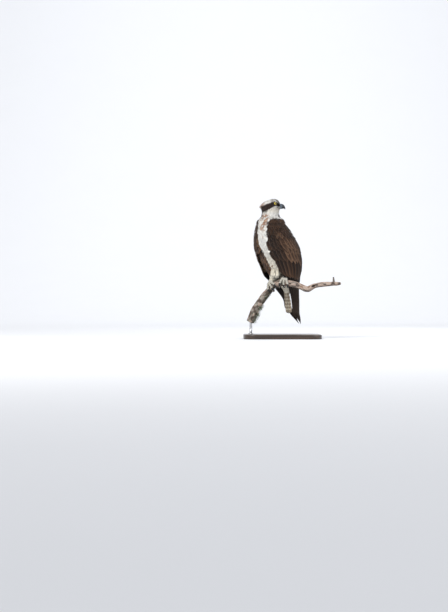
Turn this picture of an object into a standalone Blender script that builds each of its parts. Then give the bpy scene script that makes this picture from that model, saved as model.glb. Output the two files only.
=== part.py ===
"""Perched osprey at life size, gripping a cut length of branch on a plain stand.

Metres, +Z up.  The origin is the middle of the stand base's underside, so the
model stands on the plane Z = 0.  The bird is described in its own frame:
s forward, t to its left, z up, measured from the middle of the branch between
its feet, and an empty turns that frame into place.
"""
import bpy
import bmesh
import math
import numpy as np
from mathutils import Matrix, Vector

for old in list(bpy.data.objects):
    bpy.data.objects.remove(old, do_unlink=True)

# ------------------------------------------------------------------ sizes
PERCH_POINT = (-0.020, 0.0, 0.245)      # middle of the branch between the feet
BODY_YAW = math.radians(-134.0)         # where the breast points, from +X
HEAD_YAW = math.radians(5.0)            # where the bill points, from +X
HEAD_AT = (0.0446, 0.0014, 0.339)       # middle of the skull, bird frame

GAP = 0.0004                            # parting cut between neighbours
WING_GAP = 0.0008                       # between folded wing and flank
Z_TRUNK_TOP = 0.2812                    # trunk ends, neck starts
Z_NECK_TOP = 0.3116                     # neck ends, head starts
Z_WING_TOP = 0.2785                     # highest slice of the folded wing
Z_WING_LOW = 0.032                      # coverts and tertials end here
Z_TIP = -0.184                          # wing tip
Z_TAIL = (-0.0586, -0.1350)             # tail feathers, root and end

EYE_R = 0.0090
EYE_AT = (0.0140, 0.0167, 0.0052)       # head frame, left eye (mirrored)
BILL_ROOT = 0.0400                      # head frame x of the cere's base

BASE_SIZE = (0.340, 0.260, 0.020)
ROD_R = 0.006


# ------------------------------------------------------------ small maths
def pchip(rows, column):
    """Smooth monotone curve through (key, value...) rows, as a function."""
    rows = sorted(rows)
    x = np.array([r[0] for r in rows], float)
    y = np.array([r[column] for r in rows], float)
    h = np.diff(x)
    d = np.diff(y) / h
    m = np.zeros(len(x))
    m[0], m[-1] = d[0], d[-1]
    for i in range(1, len(x) - 1):
        if d[i - 1] * d[i] > 0:
            w1, w2 = 2 * h[i] + h[i - 1], h[i] + 2 * h[i - 1]
            m[i] = (w1 + w2) / (w1 / d[i - 1] + w2 / d[i])

    def f(v):
        v = np.clip(np.asarray(v, float), x[0], x[-1])
        i = np.clip(np.searchsorted(x, v, side="right") - 1, 0, len(x) - 2)
        u = (v - x[i]) / h[i]
        return ((2 * u**3 - 3 * u**2 + 1) * y[i] + (u**3 - 2 * u**2 + u) * h[i] * m[i]
                + (3 * u**2 - 2 * u**3) * y[i + 1] + (u**3 - u**2) * h[i] * m[i + 1])
    return f


def smin(a, b, k):
    """Union of two fields, rounded over the length k where they meet."""
    h = np.clip(0.5 + 0.5 * (b - a) / k, 0, 1)
    return b * (1 - h) + a * h - k * h * (1 - h)


def smax(a, b, k):
    return -smin(-a, -b, k)


# ------------------------------------------------- the outline of the bird
# Body with its folded wings, as level sections: height, centre, depth before
# the centre, depth behind it, half-width.
ENVELOPE = [
    (0.2920, 0.0460, 0.030, 0.030, 0.032),
    (0.2730, 0.0450, 0.052, 0.052, 0.062),
    (0.2510, 0.0425, 0.059, 0.060, 0.0715),
    (0.2290, 0.0330, 0.0700, 0.0700, 0.0830),
    (0.1850, 0.0170, 0.0830, 0.0833, 0.0983),
    (0.1410, 0.0000, 0.0880, 0.0890, 0.1050),
    (0.1010, -0.0125, 0.0820, 0.0870, 0.1040),
    (0.0700, -0.0206, 0.0720, 0.0810, 0.0990),
    (0.0570, -0.0235, 0.0680, 0.0770, 0.0965),
    (0.0310, -0.0280, 0.0610, 0.0680, 0.0870),
    (0.0090, -0.0440, 0.0560, 0.0580, 0.0740),
    (-0.0220, -0.0614, 0.0440, 0.0460, 0.0580),
    (-0.0790, -0.0930, 0.0317, 0.0317, 0.0374),
    (-0.1320, -0.1010, 0.0290, 0.0290, 0.0343),
    (-0.1600, -0.1270, 0.0170, 0.0180, 0.0210),
    (-0.1840, -0.1500, 0.0050, 0.0050, 0.0065),
]
ENV_C, ENV_F, ENV_B, ENV_A = (pchip(ENVELOPE, k) for k in (1, 2, 3, 4))
ROUND = 2.25                            # squareness of the level sections

# The trunk inside the wings: height, front, back, half-width.
TRUNK = [
    (0.2920, 0.085, 0.000, 0.060),
    (0.1850, 0.104, -0.080, 0.100),
    (0.1600, 0.0935, -0.081, 0.097),
    (0.1410, 0.0820, -0.081, 0.094),
    (0.1010, 0.0590, -0.087, 0.090),
    (0.0700, 0.0400, -0.088, 0.082),
    (0.0450, 0.0220, -0.087, 0.070),
    (0.0200, 0.0060, -0.085, 0.056),
    (0.0000, -0.0160, -0.084, 0.045),
    (-0.0220, -0.0380, -0.084, 0.035),
    (-0.0450, -0.0520, -0.080, 0.027),
    (-0.0580, -0.0580, -0.077, 0.023),
]
TR_F, TR_B, TR_A = (pchip(TRUNK, k) for k in (1, 2, 3))

# Where the folded wing begins on the breast and ends on the back, as angles
# round the section, in degrees from straight ahead.
WING_EDGE = [
    (0.2785, 50.0, 78.0), (0.2720, 36.0, 100.0), (0.2620, 28.0, 120.0),
    (0.2500, 24.0, 134.0), (0.2240, 20.5, 152.0), (0.1950, 17.5, 164.0),
    (0.1670, 16.0, 172.0), (0.1230, 14.5, 176.5), (0.0920, 15.5, 176.5),
    (0.0570, 18.5, 175.0), (0.0320, 22.0, 171.0), (0.0200, 28.0, 168.0), (0.0000, 34.0, 160.0),
    (-0.0300, 47.0, 150.0), (-0.0800, 43.0, 146.0), (-0.1320, 42.0, 154.0),
    (-0.1600, 62.0, 156.0), (-0.1840, 70.0, 150.0),
]
EDGE_LEAD, EDGE_BACK = (pchip(WING_EDGE, k) for k in (1, 2))
# Below the breast the white strip swings to the bird's left, in degrees.
SWING = pchip([(0.2785, 0.0), (0.1670, 0.0), (0.1230, 5.0), (0.0920, 7.5),
               (0.0570, 10.0), (0.0320, 10.0), (0.0, 6.0), (-0.03, 0.0), (-0.184, 0.0)], 1)

# The branch: X, Z, Y of its centre line from PERCH_POINT, and its radius.
BRANCH = [
    (-0.1194, -0.1716, 0.0400, 0.0186), (-0.0975, -0.1197, 0.0330, 0.0184),
    (-0.0805, -0.0915, 0.0280, 0.0180), (-0.0610, -0.0640, 0.0200, 0.0174),
    (-0.0385, -0.0360, 0.0075, 0.0164), (-0.0215, -0.0140, -0.0036, 0.0154),
    (-0.0026, -0.0044, -0.0128, 0.0148), (0.0255, 0.0022, -0.0258, 0.0145),
    (0.0513, -0.0024, -0.0387, 0.0142), (0.0787, -0.0078, -0.0517, 0.0134),
    (0.1059, -0.0194, -0.0648, 0.0128), (0.1274, -0.0277, -0.0752, 0.0136),
    (0.1598, -0.0132, -0.0909, 0.0108), (0.2025, -0.0066, -0.1117, 0.0104),
    (0.2465, -0.0050, -0.1330, 0.0088), (0.2659, -0.0042, -0.1429, 0.0050),
]
FOOT_ALONG = {"left": 0.0310, "right": -0.0190}   # X of each foot on the branch


def turn(p, angle):
    c, s = math.cos(angle), math.sin(angle)
    return (c * p[0] - s * p[1], s * p[0] + c * p[1])


def branch_line(steps):
    """Points on a smooth line through the branch's centres, with radii."""
    rows = np.array([(x, y, z, r) for x, z, y, r in BRANCH])
    out = []
    for i in range(len(rows) - 1):
        p0 = rows[max(i - 1, 0)]
        p1, p2 = rows[i], rows[i + 1]
        p3 = rows[min(i + 2, len(rows) - 1)]
        for k in range(steps):
            u = k / steps
            out.append(0.5 * (2 * p1 + (p2 - p0) * u + (2 * p0 - 5 * p1 + 4 * p2 - p3) * u * u
                              + (3 * p1 - p0 - 3 * p2 + p3) * u**3))
    out.append(rows[-1])
    return np.array(out)


def bird_from_world(points):
    """Perch-point coordinates turned into the bird's frame."""
    c, s = math.cos(-BODY_YAW), math.sin(-BODY_YAW)
    q = np.array(points, float).copy()
    q[:, 0], q[:, 1] = c * points[:, 0] - s * points[:, 1], s * points[:, 0] + c * points[:, 1]
    return q


GRIP = branch_line(4)
GRIP = GRIP[(GRIP[:, 0] > -0.075) & (GRIP[:, 0] < 0.12)]
GRIP_BIRD = bird_from_world(GRIP[:, :3])
GRIP_R = GRIP[:, 3]


def branch_room(p, clear, flat=1.0):
    """Positive within `clear` of the branch's surface: the body keeps out.
    A `flat` under 1 clears a band that is taller than it is deep."""
    best = np.full(p.shape[:-1], 1e9)
    squash = np.array((1.0, 1.0, flat))
    p = p * squash
    for k in range(len(GRIP_BIRD) - 1):
        a, b = GRIP_BIRD[k] * squash, GRIP_BIRD[k + 1] * squash
        ab = b - a
        u = np.clip(((p - a) @ ab) / (ab @ ab), 0, 1)
        d = np.linalg.norm(p - (a + u[..., None] * ab), axis=-1)
        best = np.minimum(best, d - (GRIP_R[k] * (1 - u) + GRIP_R[k + 1] * u))
    return clear - best


# Each leg's line below its thigh, in the bird's frame, from knee to foot.
SHANK = {"left": ((0.0000, 0.0385, 0.0504), (-0.0011, 0.0420, 0.0240)),
         "right": ((0.0145, -0.0155, 0.0240), (0.0168, -0.0102, 0.0110))}


def leg_room(p, clear, start=0.0):
    """Positive within `clear` of a shank's line: body and wings keep out."""
    best = np.full(p.shape[:-1], 1e9)
    for a, b in SHANK.values():
        a, b = np.array(a), np.array(b)
        a = a + (b - a) * start
        ab = b - a
        u = np.clip(((p - a) @ ab) / (ab @ ab), 0, 1)
        best = np.minimum(best, np.linalg.norm(p - (a + u[..., None] * ab), axis=-1))
    return clear - best


def section(ds, dt, front, back, half):
    """Field of one level superellipse, negative inside."""
    depth = np.where(ds > 0, front, back)
    q = ((np.abs(ds) / depth) ** ROUND + (np.abs(dt) / half) ** ROUND) ** (1 / ROUND)
    return (q - 1) * np.minimum(depth, half)


def ellipsoid(p, centre, radii, pitch=0.0):
    d = p - np.array(centre)
    c, s = math.cos(pitch), math.sin(pitch)
    x, z = c * d[..., 0] + s * d[..., 2], -s * d[..., 0] + c * d[..., 2]
    q = np.sqrt((x / radii[0])**2 + (d[..., 1] / radii[1])**2 + (z / radii[2])**2)
    return (q - 1) * min(radii)


def cone(p, a, b, ra, rb):
    a, b = np.array(a, float), np.array(b, float)
    ab = b - a
    u = np.clip(((p - a) @ ab) / (ab @ ab), 0, 1)
    return np.linalg.norm(p - (a + u[..., None] * ab), axis=-1) - (ra + (rb - ra) * u)


def head_field(q):
    """Head with its feathers, in the head's frame: x to the bill, z up."""
    f = ellipsoid(q, (-0.006, 0, 0.002), (0.040, 0.0265, 0.0225), math.radians(18))
    f = smin(f, ellipsoid(q, (0.0125, 0, 0.0090), (0.0215, 0.0200, 0.0178)), 0.010)
    f = smin(f, cone(q, (0.020, 0, 0.000), (0.0385, 0, -0.0035), 0.0165, 0.0098), 0.010)
    f = smin(f, ellipsoid(q, (0.010, 0, -0.016), (0.0245, 0.0235, 0.0170)), 0.012)
    f = smin(f, cone(q, (-0.030, 0, -0.004), (-0.0465, 0, -0.0068), 0.0115, 0.0028), 0.012)
    return f


def neck_field(p):
    z = p[..., 2]
    c = NECK_C(z)
    tube = np.hypot(p[..., 0] - c, (p[..., 1] - 0.001) * 1.03) - NECK_R(z)
    return np.maximum(tube, z - 0.346)


NECK = [(0.200, 0.034, 0.050), (0.262, 0.0440, 0.0450), (0.286, 0.0462, 0.0405),
        (0.311, 0.0480, 0.0375), (0.330, 0.0470, 0.0330), (0.345, 0.0460, 0.022),
        (0.352, 0.0460, 0.006)]
NECK_C, NECK_R = (pchip(NECK, k) for k in (1, 2))


def to_head(p):
    d = p - np.array(HEAD_AT)
    a = HEAD_YAW - BODY_YAW
    c, s = math.cos(-a), math.sin(-a)
    q = d.copy()
    q[..., 0], q[..., 1] = c * d[..., 0] - s * d[..., 1], s * d[..., 0] + c * d[..., 1]
    return q


def upper_field(p):
    """Neck and head together, with the chin and nape running into the neck."""
    return smin(neck_field(p), head_field(to_head(p)), 0.012)


def outline_field(p):
    """The whole bird's outline: body with folded wings, neck and head."""
    z = p[..., 2]
    body = section(p[..., 0] - ENV_C(z), p[..., 1], ENV_F(z), ENV_B(z), ENV_A(z))
    body = np.maximum(body, (z - 0.291))
    return smin(body, upper_field(p), 0.016)


def low_field(p):
    """The outline under the coverts, drawn in behind the legs and branch."""
    f = smax(outline_field(p), leg_room(p, 0.0150), 0.003)
    return smax(f, branch_room(p, 0.0135, 0.62), 0.006)


def trunk_field(p):
    z = p[..., 2]
    mid = 0.5 * (TR_F(z) + TR_B(z))
    dep = 0.5 * (TR_F(z) - TR_B(z))
    body = section(p[..., 0] - mid, p[..., 1], dep, dep, TR_A(z))
    body = smax(body, leg_room(p, 0.0200), 0.003)
    return smax(body, branch_room(p, 0.0190, 0.62), 0.006)


def reach(field, centre, angles, z, far=0.16):
    """How far out the field's surface lies along each level direction."""
    lo, hi = np.zeros(len(angles)), np.full(len(angles), far)
    steps = np.linspace(0.002, far, 60)
    dirs = np.stack([np.cos(angles), np.sin(angles)], -1)
    pts = np.zeros((len(angles), len(steps), 3))
    pts[..., :2] = np.array(centre)[None, None, :] + dirs[:, None, :] * steps[None, :, None]
    pts[..., 2] = z
    out = field(pts) > 0
    first = np.where(out.any(1), out.argmax(1), len(steps) - 1)
    hi = steps[first]
    lo = np.where(first > 0, steps[np.maximum(first - 1, 0)], 0)
    for _ in range(22):
        mid = 0.5 * (lo + hi)
        q = np.zeros((len(angles), 3))
        q[:, :2] = np.array(centre) + dirs * mid[:, None]
        q[:, 2] = z
        outside = field(q) > 0
        hi = np.where(outside, mid, hi)
        lo = np.where(outside, lo, mid)
    return 0.5 * (lo + hi)


# ------------------------------------------------------------- materials
def finish(name, colour, rough, metal=0.0):
    m = bpy.data.materials.new(name)
    m.use_nodes = True
    b = m.node_tree.nodes["Principled BSDF"]
    b.inputs["Base Color"].default_value = (*colour, 1)
    b.inputs["Roughness"].default_value = rough
    b.inputs["Metallic"].default_value = metal
    m.diffuse_color = (*colour, 1)
    return m


WHITE = finish("white_plumage", (0.80, 0.75, 0.66), 0.85)
BROWN = finish("brown_plumage", (0.075, 0.050, 0.036), 0.80)
BLACK = finish("blackish_flight_feathers", (0.030, 0.024, 0.021), 0.70)
BARRED = finish("barred_tail_feathers", (0.42, 0.34, 0.24), 0.75)
HORN = finish("dark_horn", (0.022, 0.022, 0.026), 0.35)
IRIS = finish("yellow_iris", (0.72, 0.52, 0.03), 0.15)
SCALE = finish("pale_foot_scales", (0.58, 0.55, 0.48), 0.60)
BARK = finish("weathered_wood", (0.33, 0.25, 0.19), 0.90)
STEEL = finish("satin_steel", (0.55, 0.55, 0.56), 0.35, 1.0)
PLINTH = finish("dark_stained_wood", (0.055, 0.035, 0.024), 0.45)


# --------------------------------------------------------- mesh building
def empty(name, location, angle, parent=None):
    e = bpy.data.objects.new(name, None)
    e.location = location
    e.rotation_euler = (0, 0, angle)
    e.parent = parent
    bpy.context.collection.objects.link(e)
    return e


def solid(name, verts, faces, material, parent=None, smooth=True, cutter=False):
    me = bpy.data.meshes.new(name)
    me.from_pydata([tuple(float(c) for c in v) for v in verts], [], faces)
    bm = bmesh.new()
    bm.from_mesh(me)
    bmesh.ops.recalc_face_normals(bm, faces=bm.faces)
    if bm.calc_volume(signed=True) < 0:
        bmesh.ops.reverse_faces(bm, faces=bm.faces)
    bm.to_mesh(me)
    bm.free()
    me.materials.append(material)
    if smooth:
        me.shade_smooth()
        me.set_sharp_from_angle(angle=math.radians(50))
    ob = bpy.data.objects.new(name, me)
    ob.parent = parent
    bpy.context.collection.objects.link(ob)
    if cutter:
        ob.hide_render = True
        ob.hide_set(True)
        ob.display_type = "WIRE"
    return ob


def loft_faces(n_rings, n, flip=()):
    """Triangles between closed rings, all cut along the same diagonal, but
    for the `flip` columns, which run the other way round."""
    faces = []
    for i in range(n_rings - 1):
        a, b = i * n, (i + 1) * n
        for j in range(n):
            k = (j + 1) % n
            if j in flip:
                faces.append((a + j, a + k, b + j))
                faces.append((a + k, b + k, b + j))
            else:
                faces.append((a + j, a + k, b + k))
                faces.append((a + j, b + k, b + j))
    return faces


def loft(name, rings, material, parent=None, cutter=False, smooth=True, flip=()):
    """Closed loft; a ring that is one point closes to a tip."""
    verts, faces = [], []
    rings = [np.asarray(r, float) for r in rings]
    tip0, tip1 = len(rings[0]) == 1, len(rings[-1]) == 1
    body = rings[(1 if tip0 else 0):(len(rings) - 1 if tip1 else len(rings))]
    n = len(body[0])
    for r in body:
        verts.extend(r)
    faces += loft_faces(len(body), n, flip)
    last = (len(body) - 1) * n
    if tip0:
        verts.append(rings[0][0])
        faces += [(len(verts) - 1, (j + 1) % n, j) for j in range(n)]
    else:
        faces.append(tuple(range(n))[::-1])
    if tip1:
        verts.append(rings[-1][0])
        faces += [(len(verts) - 1, last + j, last + (j + 1) % n) for j in range(n)]
    else:
        faces.append(tuple(last + j for j in range(n)))
    return solid(name, verts, faces, material, parent, smooth, cutter)


def cut(target, tool, operation="DIFFERENCE"):
    m = target.modifiers.new(tool.name, "BOOLEAN")
    m.operation = operation
    m.solver = "EXACT"
    m.object = tool


def tube_rings(path, radii, sides, up=(0, 0, 1), squash=1.0):
    """Rings square to a path, with their first point towards `up`."""
    path = np.asarray(path, float)
    rings = []
    for i, p in enumerate(path):
        d = path[min(i + 1, len(path) - 1)] - path[max(i - 1, 0)]
        d /= np.linalg.norm(d)
        u = np.asarray(up, float) - np.dot(up, d) * d
        u /= np.linalg.norm(u)
        v = np.cross(d, u)
        ang = np.arange(sides) / sides * 2 * math.pi
        rings.append(p + radii[i] * (np.cos(ang)[:, None] * u + squash * np.sin(ang)[:, None] * v))
    return rings


bird = empty("bird_frame", PERCH_POINT, BODY_YAW)
head_frame = empty("head_frame", HEAD_AT, HEAD_YAW - BODY_YAW, bird)
perch_frame = empty("perch_frame", PERCH_POINT, 0.0)

# ------------------------------------------------------------ body slices
LEVELS = [Z_TRUNK_TOP, Z_WING_TOP, 0.2710, 0.2610, 0.2490, 0.2350, 0.2190, 0.2020,
          0.1840, 0.1660, 0.1480, 0.1300, 0.1120, 0.0945, 0.0780, 0.0640,
          0.0490, Z_WING_LOW, 0.0210, 0.0110, 0.0000, -0.0130, -0.0280, -0.0430, -0.0580]
N_FRONT, N_WING, N_BACK = 5, 10, 3


def columns(z):
    """Directions round the body, with the wings' edges always on a column."""
    lead_l = math.radians(float(EDGE_LEAD(z) + SWING(z)))
    lead_r = math.radians(float(EDGE_LEAD(z) - SWING(z)))
    back = math.radians(float(EDGE_BACK(z)))
    sliver = 0.0028 / 0.09
    front = np.linspace(-lead_r + sliver, lead_l - sliver, N_FRONT)
    left = np.linspace(lead_l, back, N_WING)
    rear = np.linspace(back + sliver, 2 * math.pi - back - sliver, N_BACK)
    if back + sliver >= math.pi - 0.004:
        rear = np.linspace(back + 0.3 * (math.pi - back), 2 * math.pi - back - 0.3 * (math.pi - back), N_BACK)
    right = np.linspace(2 * math.pi - back, 2 * math.pi - lead_r, N_WING)
    return np.concatenate([front, left, rear, right])


def wing_depth(z):
    """Thickness of the folded wing along its columns, thin at both edges."""
    u = np.linspace(0, 1, N_WING)
    full = float(np.interp(z, [-0.18, -0.13, -0.05, 0.05, 0.12, 0.24, 0.28],
                           [0.0016, 0.0022, 0.0032, 0.0045, 0.0075, 0.0090, 0.0060]))
    edge = float(np.interp(z, [-0.18, 0.0, 0.25], [0.0012, 0.0018, 0.0030]))
    return edge + (full - edge) * np.sin(math.pi * u) ** 0.6


def outer_radius(z):
    c = (float(ENV_C(z)), 0.0)
    return c, columns(z), reach(outline_field, c, columns(z), z)


def ring_points(c, ang, rad, z):
    return np.stack([c[0] + rad * np.cos(ang), c[1] + rad * np.sin(ang), np.full(len(ang), z)], -1)


trunk_rings, slices = [], {}
for z in LEVELS:
    c, ang, rad = outer_radius(z)
    slices[z] = (c, ang, rad)
    inner = rad.copy()
    if z <= Z_WING_TOP:
        d = wing_depth(z) + WING_GAP
        w0 = N_FRONT
        inner[w0:w0 + N_WING] -= d
        inner[w0 + N_WING + N_BACK:] -= d[::-1]
        # under the first and last slices of the wing the flank already steps in
        inner[:N_FRONT] = np.minimum(inner[:N_FRONT], rad[:N_FRONT])
    else:
        inner[N_FRONT:N_FRONT + N_WING] -= 0.0036 * np.sin(np.linspace(0, math.pi, N_WING))
        inner[N_FRONT + N_WING + N_BACK:] -= 0.0036 * np.sin(np.linspace(0, math.pi, N_WING))
    if z < 0.19:
        if z < Z_WING_LOW:                # free of the wings: its own middle
            c = (0.5 * float(TR_F(z) + TR_B(z)), 0.0)
        tr = reach(trunk_field, c, ang, z)
        if z < Z_WING_LOW:
            inner = tr
        else:
            inner = np.minimum(inner, tr)
    trunk_rings.append(ring_points(c, ang, inner, z))
trunk = loft("trunk", trunk_rings, WHITE, bird)

for side, j0 in (("left", N_FRONT), ("right", N_FRONT + N_WING + N_BACK)):
    rings = []
    for z in [v for v in LEVELS if Z_WING_LOW <= v <= Z_WING_TOP]:
        c, ang, rad = slices[z]
        a, r = ang[j0:j0 + N_WING], rad[j0:j0 + N_WING]
        d = wing_depth(z)
        if side == "right":
            d = d[::-1]
        outer = ring_points(c, a, r, z)
        inner = ring_points(c, a, r - d, z)
        rings.append(np.concatenate([outer, inner[::-1]]))
    loft("wing_" + side, rings, BROWN, bird, flip=set(range(N_WING, 2 * N_WING - 1)))

    low = [Z_WING_LOW - GAP, 0.024, 0.014, 0.003, -0.010, -0.026, -0.044, -0.062,
           -0.082, -0.103, -0.122, -0.138, -0.152, -0.165, -0.176, Z_TIP]
    rings = []
    cols = 9
    for z in low:
        lead, back = math.radians(float(EDGE_LEAD(z))), math.radians(float(EDGE_BACK(z)))
        if side == "right":               # this wing tip lies tucked behind the other
            lead = max(lead, math.radians(float(np.interp(-z, [0.098, 0.126], [45.0, 118.0]))))
        a = np.linspace(lead, back, cols)
        if side == "right":
            a = (2 * math.pi - a)[::-1]
        c = (float(ENV_C(z)), 0.0)
        r = reach(low_field, c, a, z)
        r = r - 0.0025 * max(0.0, min(1.0, (z + 0.03) / 0.06))
        u = np.linspace(0, 1, cols)
        full = float(np.interp(z, [-0.184, -0.14, -0.05, 0.05], [0.0012, 0.0024, 0.0036, 0.0040]))
        d = 0.0011 + (full - 0.0011) * np.sin(math.pi * u) ** 0.6
        outer = ring_points(c, a, r, z)
        inner = ring_points(c, a, r - np.minimum(d, 0.6 * r), z)
        rings.append(np.concatenate([outer, inner[::-1]]))
    loft("primaries_" + side, rings, BLACK, bird)

# ------------------------------------------------------------------- neck
N_ROUND = 24
rings = []
for z in np.linspace(Z_TRUNK_TOP + GAP, Z_NECK_TOP, 5):
    c = (float(NECK_C(z)), 0.001)
    a = np.linspace(0, 2 * math.pi, N_ROUND, endpoint=False)
    rings.append(ring_points(c, a, reach(outline_field, c, a, z), z))
loft("neck", rings, WHITE, bird)

# ------------------------------------------------------------------- head
rings = []
z0 = Z_NECK_TOP + GAP
crown = 0.3675
fields = lambda p: np.maximum(outline_field(p), to_head(p)[..., 0] - BILL_ROOT)
a = np.linspace(0, 2 * math.pi, N_ROUND, endpoint=False)
turn_head = HEAD_YAW - BODY_YAW
steps = 11
for k in range(steps):
    z = z0 + (crown - z0) * math.sin(0.5 * math.pi * k / steps)
    # the middle of each slice slides forward along the sloping crown
    f = max(0.0, (z - 0.335) / (crown - 0.335))
    off = -0.004 + 0.024 * f
    c = (HEAD_AT[0] + off * math.cos(turn_head), HEAD_AT[1] + off * math.sin(turn_head))
    rings.append(ring_points(c, a, reach(fields, c, a, z, 0.09), z))
top = rings[-1].mean(0)
probe = np.linspace(rings[-1][0][2], crown + 0.006, 80)
inside = [zz for zz in probe if fields(np.array([[top[0], top[1], zz]]))[0] < 0]
top[2] = max(inside) if inside else rings[-1][0][2] + 0.0008
rings.append(np.array([top]))
head = loft("head", rings, WHITE, bird)

for side, sign in (("left", 1), ("right", -1)):
    at = Vector((EYE_AT[0], sign * EYE_AT[1], EYE_AT[2]))
    for name, r, cutter in (("eye_" + side, EYE_R, False), ("socket_" + side, EYE_R + GAP, True)):
        rings = [[(0, 0, -r)]]
        for k in range(1, 7):
            v = -0.5 * math.pi + math.pi * k / 7
            ang = np.arange(12) / 12 * 2 * math.pi
            rings.append(np.stack([r * math.cos(v) * np.cos(ang), r * math.cos(v) * np.sin(ang),
                                   np.full(12, r * math.sin(v))], -1))
        rings.append([(0, 0, r)])
        ball = loft(name, rings, IRIS, head_frame, cutter)
        ball.location = at
        if cutter:
            cut(head, ball)

# ------------------------------------------------------------------- bill
# Upper line, lower line and half-width, from the cere to the hooked tip.
BILL = [
    (0.0404, 0.0078, 0.0404, -0.0150, 0.0090),
    (0.0450, 0.0082, 0.0446, -0.0150, 0.0086),
    (0.0500, 0.0070, 0.0485, -0.0146, 0.0076),
    (0.0545, 0.0044, 0.0520, -0.0140, 0.0064),
    (0.0582, 0.0010, 0.0549, -0.0134, 0.0052),
    (0.0610, -0.0034, 0.0574, -0.0131, 0.0040),
    (0.0628, -0.0084, 0.0594, -0.0140, 0.0029),
    (0.0634, -0.0134, 0.0612, -0.0163, 0.0016),
]
rings = []
for x1, zt, x2, zb, w in BILL:
    ring = []
    for k in range(12):
        g = 2 * math.pi * k / 12
        m = 0.5 + 0.5 * math.cos(g)
        ring.append((x2 + (x1 - x2) * m, w * math.sin(g) * (0.86 + 0.14 * (1 - m)), zb + (zt - zb) * m))
    rings.append(ring)
rings.append([(0.0628, 0.0, -0.0196)])
loft("bill", rings, HORN, head_frame)

# ------------------------------------------------------------------- tail
rings = []
for z in np.linspace(Z_TAIL[0], Z_TAIL[1], 7):
    u = (z - Z_TAIL[0]) / (Z_TAIL[1] - Z_TAIL[0])
    front = -0.0610 - 0.0125 * u
    thick = 0.0085 - 0.0050 * u
    half = 0.0215 + 0.0002 * u - 0.0035 * max(0.0, u - 0.85) / 0.15
    ring = []
    for k in range(14):
        g = 2 * math.pi * k / 14
        cg, sg = math.cos(g), math.sin(g)
        ring.append((front - 0.5 * thick + 0.5 * thick * np.sign(cg) * abs(cg) ** 0.6
                     - 0.0035 * (abs(sg) ** 2), half * np.sign(sg) * abs(sg) ** 0.8, z))
    rings.append(ring)
loft("tail", rings, BARRED, bird)

# ------------------------------------------------------------------- legs
THIGH = {   # upper end, and radii at the top and at the knee
    "left": ((0.0080, 0.0310, 0.0920), 0.0205, 0.0140),
    "right": ((0.0140, -0.0250, 0.0780), 0.0200, 0.0128),
}


def foot_frame(side):
    line = branch_line(8)
    i = int(np.argmin(np.abs(line[:, 0] - FOOT_ALONG[side])))
    centre, radius = line[i, :3], line[i, 3]
    along = line[i + 1, :3] - line[i - 1, :3]
    along /= np.linalg.norm(along)
    up = np.array((0, 0, 1.0)) - along[2] * along
    up /= np.linalg.norm(up)
    fore = np.cross(along, up)            # towards the bird's front
    return centre, radius, along, fore, up


WOOD = branch_line(10)


def off_the_wood(p, clear):
    """The point, moved straight out to `clear` from the branch's surface."""
    d = np.linalg.norm(WOOD[:, :3] - p, axis=1) - WOOD[:, 3]
    i = int(np.argmin(d))
    lo, hi = max(i - 1, 0), min(i + 1, len(WOOD) - 1)
    ab = WOOD[hi, :3] - WOOD[lo, :3]
    u = float(np.clip(np.dot(p - WOOD[lo, :3], ab) / np.dot(ab, ab), 0, 1))
    c = WOOD[lo, :3] + u * ab
    r = WOOD[lo, 3] + u * (WOOD[hi, 3] - WOOD[lo, 3])
    away = p - c
    dist = np.linalg.norm(away)
    return p if dist >= r + clear else c + away / dist * (r + clear)


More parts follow.
